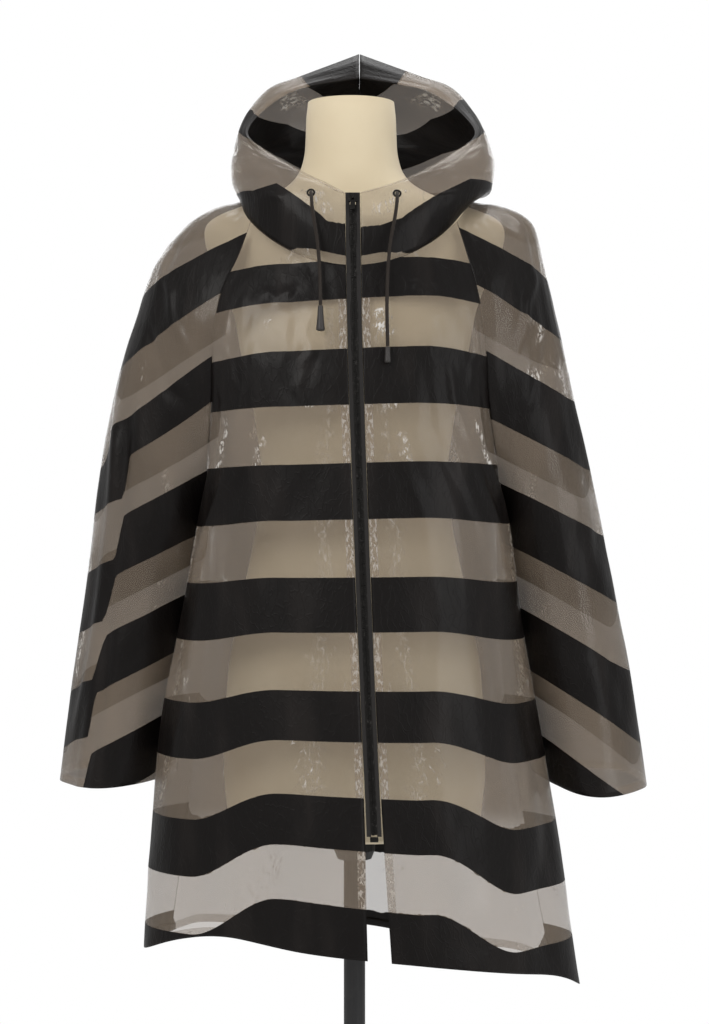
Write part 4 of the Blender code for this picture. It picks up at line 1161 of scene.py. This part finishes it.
# the doubled strips carry more painted glints than their panel
def makeStrip(name, band, material, nodes, glintBoost=0.25):
    values = {"stripe": band[:, :, 3], "glintSpots": np.clip(band[:, :, 4] + glintBoost, 0, 1)}
    return makeSheet(name, band[:, :, :3], values, material, cloth["trimWall"], nodes)


def footBand(points, values, sign):
    band = layered(lifted(points, sign * inside), values)[::-1].transpose(1, 0, 2)
    return edgeBand(band, cloth["gap"], cloth["hemDepth"], 4)


def makeStrips(made, material):
    added = {name: [] for name in made}
    gap = cloth["gap"]
    for name, side in sides.items():
        owner = f"front_panel_{name}"
        _, points, values = made[owner]
        band = edgeBand(layered(lifted(points, side * inside), values), gap, zipLine["facing"], 5)
        band = drawBack(band, [0], [], cloth["solidTrim"])
        # the facings get the most painted glints
        added[owner].append(makeStrip(f"facing_strip_{name}", band, material, [f"facing_{name}"], 0.9))
        band = drawBack(footBand(points, values, side), [0], [], zipLine["facing"] + gap)
        band = drawBack(band, [-1], [], gap)
        added[owner].append(makeStrip(f"front_hem_{name}", band, material, [f"hem_{name}"]))

        owner = f"sleeve_panel_{name}"
        _, points, values = made[owner]
        band = drawBack(footBand(points, values, side), [0, -1], [], gap)
        added[owner].append(makeStrip(f"cuff_band_{name}", band, material, [f"cuff_{name}"]))

        owner = f"hood_panel_{name}"
        _, points, values = made[owner]
        first = round(hood["zipLevels"] / len(hood["levels"]) * (len(points) - 1))
        rim = layered(lifted(points, -side * (inside + gap)), values)[first:]
        band = drawBack(edgeBand(rim, gap, hood["casing"], 5), [0, -1], [], gap)
        added[owner].append(makeStrip(f"hood_casing_{name}", band, material, [f"casing_{name}"]))
    _, points, values = made["back_panel"]
    band = drawBack(footBand(points, values, -1), [0, -1], [], gap)
    added["back_panel"].append(makeStrip("back_hem", band, material, ["hem_back"]))
    for name, (piece, points, _) in made.items():
        declareSheet(piece, points)
    print("doubled strips made")


# ---- zip
teeth = {
    "pitch": 0.0024,
    "width": 0.0028,
    "height": 0.0011,
    "depth": 0.0021,
    "core": 0.0084,  # the dark strip that they stand on
    "coreDepth": 0.0009,
    "coreSteps": 60,
    "margin": 0.002,
    "spread": 0.00108,  # of each row, from the middle
    "bevel": 0.0003,
    "sliderZ": 1.4065,
    "sliderHeight": 0.011,
}


def makeTeeth(metal):
    work = bmesh.new()
    top = teeth["sliderZ"] - teeth["sliderHeight"] / 2 - teeth["margin"]
    low = zipLine["foot"] + teeth["margin"]
    count = int((top - low) / teeth["pitch"])
    heights = np.linspace(top, low, teeth["coreSteps"])
    line = np.array([centreFront(z)[0] for z in heights])
    for z0, z1, (x0, y0, _), (x1, y1, _) in zip(heights, heights[1:], line, line[1:]):
        core = bmesh.ops.create_cube(work, size=1.0)["verts"]
        bmesh.ops.scale(work, vec=(teeth["core"], teeth["coreDepth"], z0 - z1), verts=core)
        for vert in core:
            upper = vert.co.z > 0
            vert.co += Vector((x0, y0, (z0 + z1) / 2) if upper else (x1, y1, (z0 + z1) / 2))
    for index in range(2 * count):
        z = low + index * teeth["pitch"] / 2
        x, y, _ = centreFront(z)[0]
        side = 1 if index % 2 else -1
        made = bmesh.ops.create_cube(work, size=1.0)["verts"]
        bmesh.ops.scale(work, vec=(teeth["width"], teeth["depth"], teeth["height"]), verts=made)
        bmesh.ops.translate(work, vec=(x + side * teeth["spread"], y, z), verts=made)
    piece = finishPiece("zip_teeth", work, metal, smooth=False)
    edge = piece.modifiers.new("edge", "BEVEL")
    edge.width = teeth["bevel"]
    edge.segments = 1
    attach(piece, coatBody)
    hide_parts("zip_chain")


# a CAD part with its edges rounded
def refined(nodeName, name, body, material, width, segments=3):
    work = bmesh.new()
    work.from_mesh(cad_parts[nodeName].data)
    bmesh.ops.remove_doubles(work, verts=work.verts, dist=0.00001)
    bmesh.ops.dissolve_limit(work, angle_limit=math.radians(1), verts=work.verts, edges=work.edges)
    piece = finishPiece(name, work, material, smooth=False)
    edge = piece.modifiers.new("edge", "BEVEL")
    edge.width = width
    edge.segments = segments
    edge.limit_method = "ANGLE"
    piece.data.shade_smooth()
    piece.data.set_sharp_from_angle(angle=math.radians(40))
    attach(piece, body)
    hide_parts(nodeName)


# ---- drawstring
cords = {
    "diameter": 0.004,
    "spacing": 0.0032,
    "left": [
        (-0.0489, -0.1042, 1.4127),
        (-0.0487, -0.1105, 1.4122),
        (-0.0481, -0.1162, 1.4075),
        (-0.0476, -0.1196, 1.399),
        (-0.0455, -0.1222, 1.383),
        (-0.0412, -0.1238, 1.355),
        (-0.0388, -0.1258, 1.325),
        (-0.0378, -0.1322, 1.302),
        (-0.0376, -0.1382, 1.292),
        (-0.0376, -0.1387, 1.2835),
    ],
    "right": [
        (0.0479, -0.1049, 1.4117),
        (0.0479, -0.1108, 1.4112),
        (0.0477, -0.1162, 1.4075),
        (0.0472, -0.1196, 1.399),
        (0.045, -0.1222, 1.383),
        (0.04, -0.1238, 1.355),
        (0.037, -0.1262, 1.32),
        (0.036, -0.133, 1.29),
        (0.0361, -0.1384, 1.262),
        (0.0365, -0.1408, 1.246),
        (0.0366, -0.141, 1.238),
    ],
    # top radius, foot radius, length
    "leftEnd": (0.003, 0.0048, 0.028),
    "rightEnd": (0.0029, 0.0036, 0.018),
    "bellStart": 0.0016,
    "bellEnds": 0.0034,  # both ends that the flare leaves out
    "bellRounding": 0.0006,
}


def turned(name, profile, material, place, segments=40):
    work = bmesh.new()
    verts = [work.verts.new((radius, 0.0, height)) for radius, height in profile]
    edges = [work.edges.new(pair) for pair in zip(verts, verts[1:])]
    bmesh.ops.spin(work, geom=verts + edges, axis=(0, 0, 1), cent=(0, 0, 0), angle=math.tau,
                   steps=segments, use_merge=True, use_duplicate=False)
    bmesh.ops.remove_doubles(work, verts=work.verts, dist=0.000005)
    bmesh.ops.recalc_face_normals(work, faces=work.faces)
    bmesh.ops.translate(work, vec=place, verts=work.verts)
    return finishPiece(name, work, material)


def braidMaterial():
    made, tree, shader = newMaterial("dark_braid", Specular_IOR_Level=0.3)
    place = placeOf(tree)
    x, y, z = (node(tree, "ShaderNodeSeparateXYZ", {}, [place], k) for k in range(3))
    cross = ((z + x) * 2600.0).math("SINE") * ((z - x + y) * 2600.0).math("SINE")
    fibre = noiseOf(tree, place, 900.0, 3.0, 0.6)
    tone = (cross * 0.4 + fibre * 0.5 + 0.1).clamped()
    feed(tree, shader, Base_Color=tone.mix((0.012, 0.009, 0.007), (0.05, 0.038, 0.03)),
         Roughness=fibre * 0.15 + 0.65, Normal=bump(tree, cross + fibre * 0.4, 0.7, 0.0004))
    return made


# half the outline of a bell end, from its top down the flare to the hollow in its foot
def bellProfile(topRadius, footRadius, depth):
    top = -2 * cloth["gap"]
    foot = top - depth
    start, rounding, shoulder = cords["bellStart"], cords["bellRounding"], 0.93
    flare = [(topRadius + (footRadius - topRadius) * float(t) ** 1.4,
              top - start - (depth - cords["bellEnds"]) * float(t)) for t in np.linspace(0, 1, 12)]
    return [(0.0, top), (topRadius * 0.7, top), (topRadius * shoulder, top - rounding), *flare,
            (footRadius * shoulder, foot + rounding), (footRadius * 0.72, foot),
            (footRadius * 0.55, foot + 0.0008), (0.0, foot + 0.0012)]


def makeDrawstring(braid, plastic, metal):
    for name in sides:
        route = np.array(cords[name])
        reach = np.concatenate([[0], np.cumsum(np.linalg.norm(np.diff(route, axis=0), axis=1))])
        count = max(15, round(reach[-1] / cords["spacing"]))
        points = flowing(reach, route, np.linspace(0, reach[-1], count))
        curve = bpy.data.curves.new(f"drawstring_{name}", "CURVE")
        curve.dimensions = "3D"
        curve.bevel_depth = cords["diameter"] / 2
        curve.bevel_resolution = 4
        curve.use_fill_caps = True
        line = curve.splines.new("POLY")
        line.points.add(count - 1)
        line.use_smooth = True
        for point, spot in zip(line.points, points):
            point.co = (*spot, 1.0)
        curve.materials.append(braid)
        piece = bpy.data.objects.new(f"drawstring_{name}", curve)
        bpy.context.scene.collection.objects.link(piece)
        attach(piece, coatBody)
        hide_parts(f"cord_{name}")

        bell = turned(f"bell_end_{name}", bellProfile(*cords[name + "End"]), plastic, points[-1])
        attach(bell, coatBody)
        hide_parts(f"cord_end_{name}")
        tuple(points[0])
        refined(f"eyelet_{name}", f"eyelet_ring_{name}", coatBody, metal, 0.0002, 2)


# ---- dress form and its stand
form = {
    "rings": [
        # z, half width, half depth, centre y
        (0.68, 0.14, 0.098, 0.004),
        (0.686, 0.147, 0.105, 0.004),
        (0.74, 0.153, 0.113, 0.004),
        (0.8, 0.154, 0.116, 0.003),
        (0.88, 0.147, 0.11, 0.0),
        (0.96, 0.131, 0.098, -0.003),
        (1.04, 0.114, 0.086, -0.005),
        (1.11, 0.109, 0.083, -0.006),
        (1.18, 0.119, 0.094, -0.009),
        (1.24, 0.133, 0.11, -0.011),
        (1.285, 0.141, 0.11, -0.007),
        (1.325, 0.155, 0.1, -0.001),
        (1.355, 0.172, 0.088, 0.002),
        (1.3818, 0.178, 0.077, 0.003),
        (1.3958, 0.173, 0.068, 0.003),
        (1.4043, 0.16, 0.061, 0.003),
        (1.4103, 0.137, 0.057, 0.003),
        (1.4178, 0.108, 0.055, 0.002),
        (1.4292, 0.082, 0.053, 0.001),
        (1.444, 0.063, 0.051, 0.0),
        (1.47, 0.0545, 0.05, 0.0),
        (1.525, 0.0525, 0.05, 0.0),
        (1.533, 0.05, 0.0475, 0.0),
    ],
    "lean": -0.004,
    "neckFoot": 1.4,
    "neckEase": 0.04,
    "segments": 120,
    "rows": 230,
    "shrink": 0.0005,
    "smoothing": 7,
    "footInset": 0.004,
    "crown": [(0.0004, 0.003), (0.0005, 0.008)],  # rise, inset
}


def makeForm(jersey):
    table = np.array(form["rings"])
    heights = np.linspace(table[0, 0], table[-1, 0], form["rows"])
    pad = form["smoothing"] - 1
    padded = np.concatenate([np.full(pad, heights[0]), heights, np.full(pad, heights[-1])])
    kernel = np.ones(form["smoothing"]) / form["smoothing"]
    sizes = np.stack([np.convolve(np.interp(padded, table[:, 0], table[:, k]), kernel, "same")
                      for k in (1, 2, 3)], 1)[pad:-pad]
    sizes[:, :2] -= form["shrink"]
    angles = [math.tau * k / form["segments"] for k in range(form["segments"])]

    work = bmesh.new()
    bmesh.ops.create_circle(work, cap_ends=True, segments=form["segments"], radius=1.0)
    ring = sorted(work.verts, key=lambda vert: math.atan2(vert.co.y, vert.co.x) % math.tau)

    def shape(verts, z, halfWidth, halfDepth, centreY):
        lean = form["lean"] * min(1.0, max(0.0, (z - form["neckFoot"]) / form["neckEase"]))
        for vert, angle in zip(verts, angles):
            vert.co = (lean + halfWidth * math.cos(angle), centreY + halfDepth * math.sin(angle), z)

    shape(ring, heights[0], *(sizes[0] - (form["footInset"], form["footInset"], 0)))
    edges = list(work.edges)
    crown = [(heights[-1] + rise, sizes[-1] - (inset, inset, 0)) for rise, inset in form["crown"]]
    for z, size in [*zip(heights[1:], sizes[1:]), *crown]:
        grown = bmesh.ops.extrude_edge_only(work, edges=edges)["geom"]
        edges = [part for part in grown if isinstance(part, bmesh.types.BMEdge)]
        upper = orderLike(ring, [part for part in grown if isinstance(part, bmesh.types.BMVert)])
        shape(upper, z, *size)
        ring = upper
    bmesh.ops.contextual_create(work, geom=edges)
    bmesh.ops.recalc_face_normals(work, faces=work.faces)
    piece = finishPiece("form_body", work, jersey)
    piece.data.set_sharp_from_angle(angle=math.radians(50))
    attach(piece, coatBody)
    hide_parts("form_torso")


def orderLike(ring, grown):
    places = {tuple(round(c, 7) for c in vert.co): vert for vert in grown}
    return [places[tuple(round(c, 7) for c in vert.co)] for vert in ring]


def paintNodes(material, *names):
    for name in names:
        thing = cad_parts[name]
        thing.data.materials.clear()
        thing.data.materials.append(material)


makeStudio()
print("studio ready")
striped = filmMaterial()
gunmetal = metalMaterial("gunmetal", (0.016, 0.015, 0.014), (0.06, 0.057, 0.054), 0.42, 420.0)
made = makePanels(striped)
makeStrips(made, striped)
makeTeeth(gunmetal)
paintNodes(weaveMaterial("zip_tape_weave", (0.022, 0.02, 0.019), 0.0011, 0.82), "zip_tape_left",
           "zip_tape_right")
refined("zip_slider", "slider_body", coatBody, gunmetal, 0.0005)
refined("zip_stop", "bottom_stop", coatBody, gunmetal, 0.0006)
refined("zip_pull", "pull_tab_plate", pullBody, gunmetal, 0.0004)
print("zip made")
makeDrawstring(braidMaterial(), plainMaterial("bell_plastic", (0.03, 0.026, 0.024), 0.42), gunmetal)
makeForm(jerseyMaterial())
paintNodes(paintMaterial(), "form_base", "form_pole", "form_collar")
print("form and stand made")
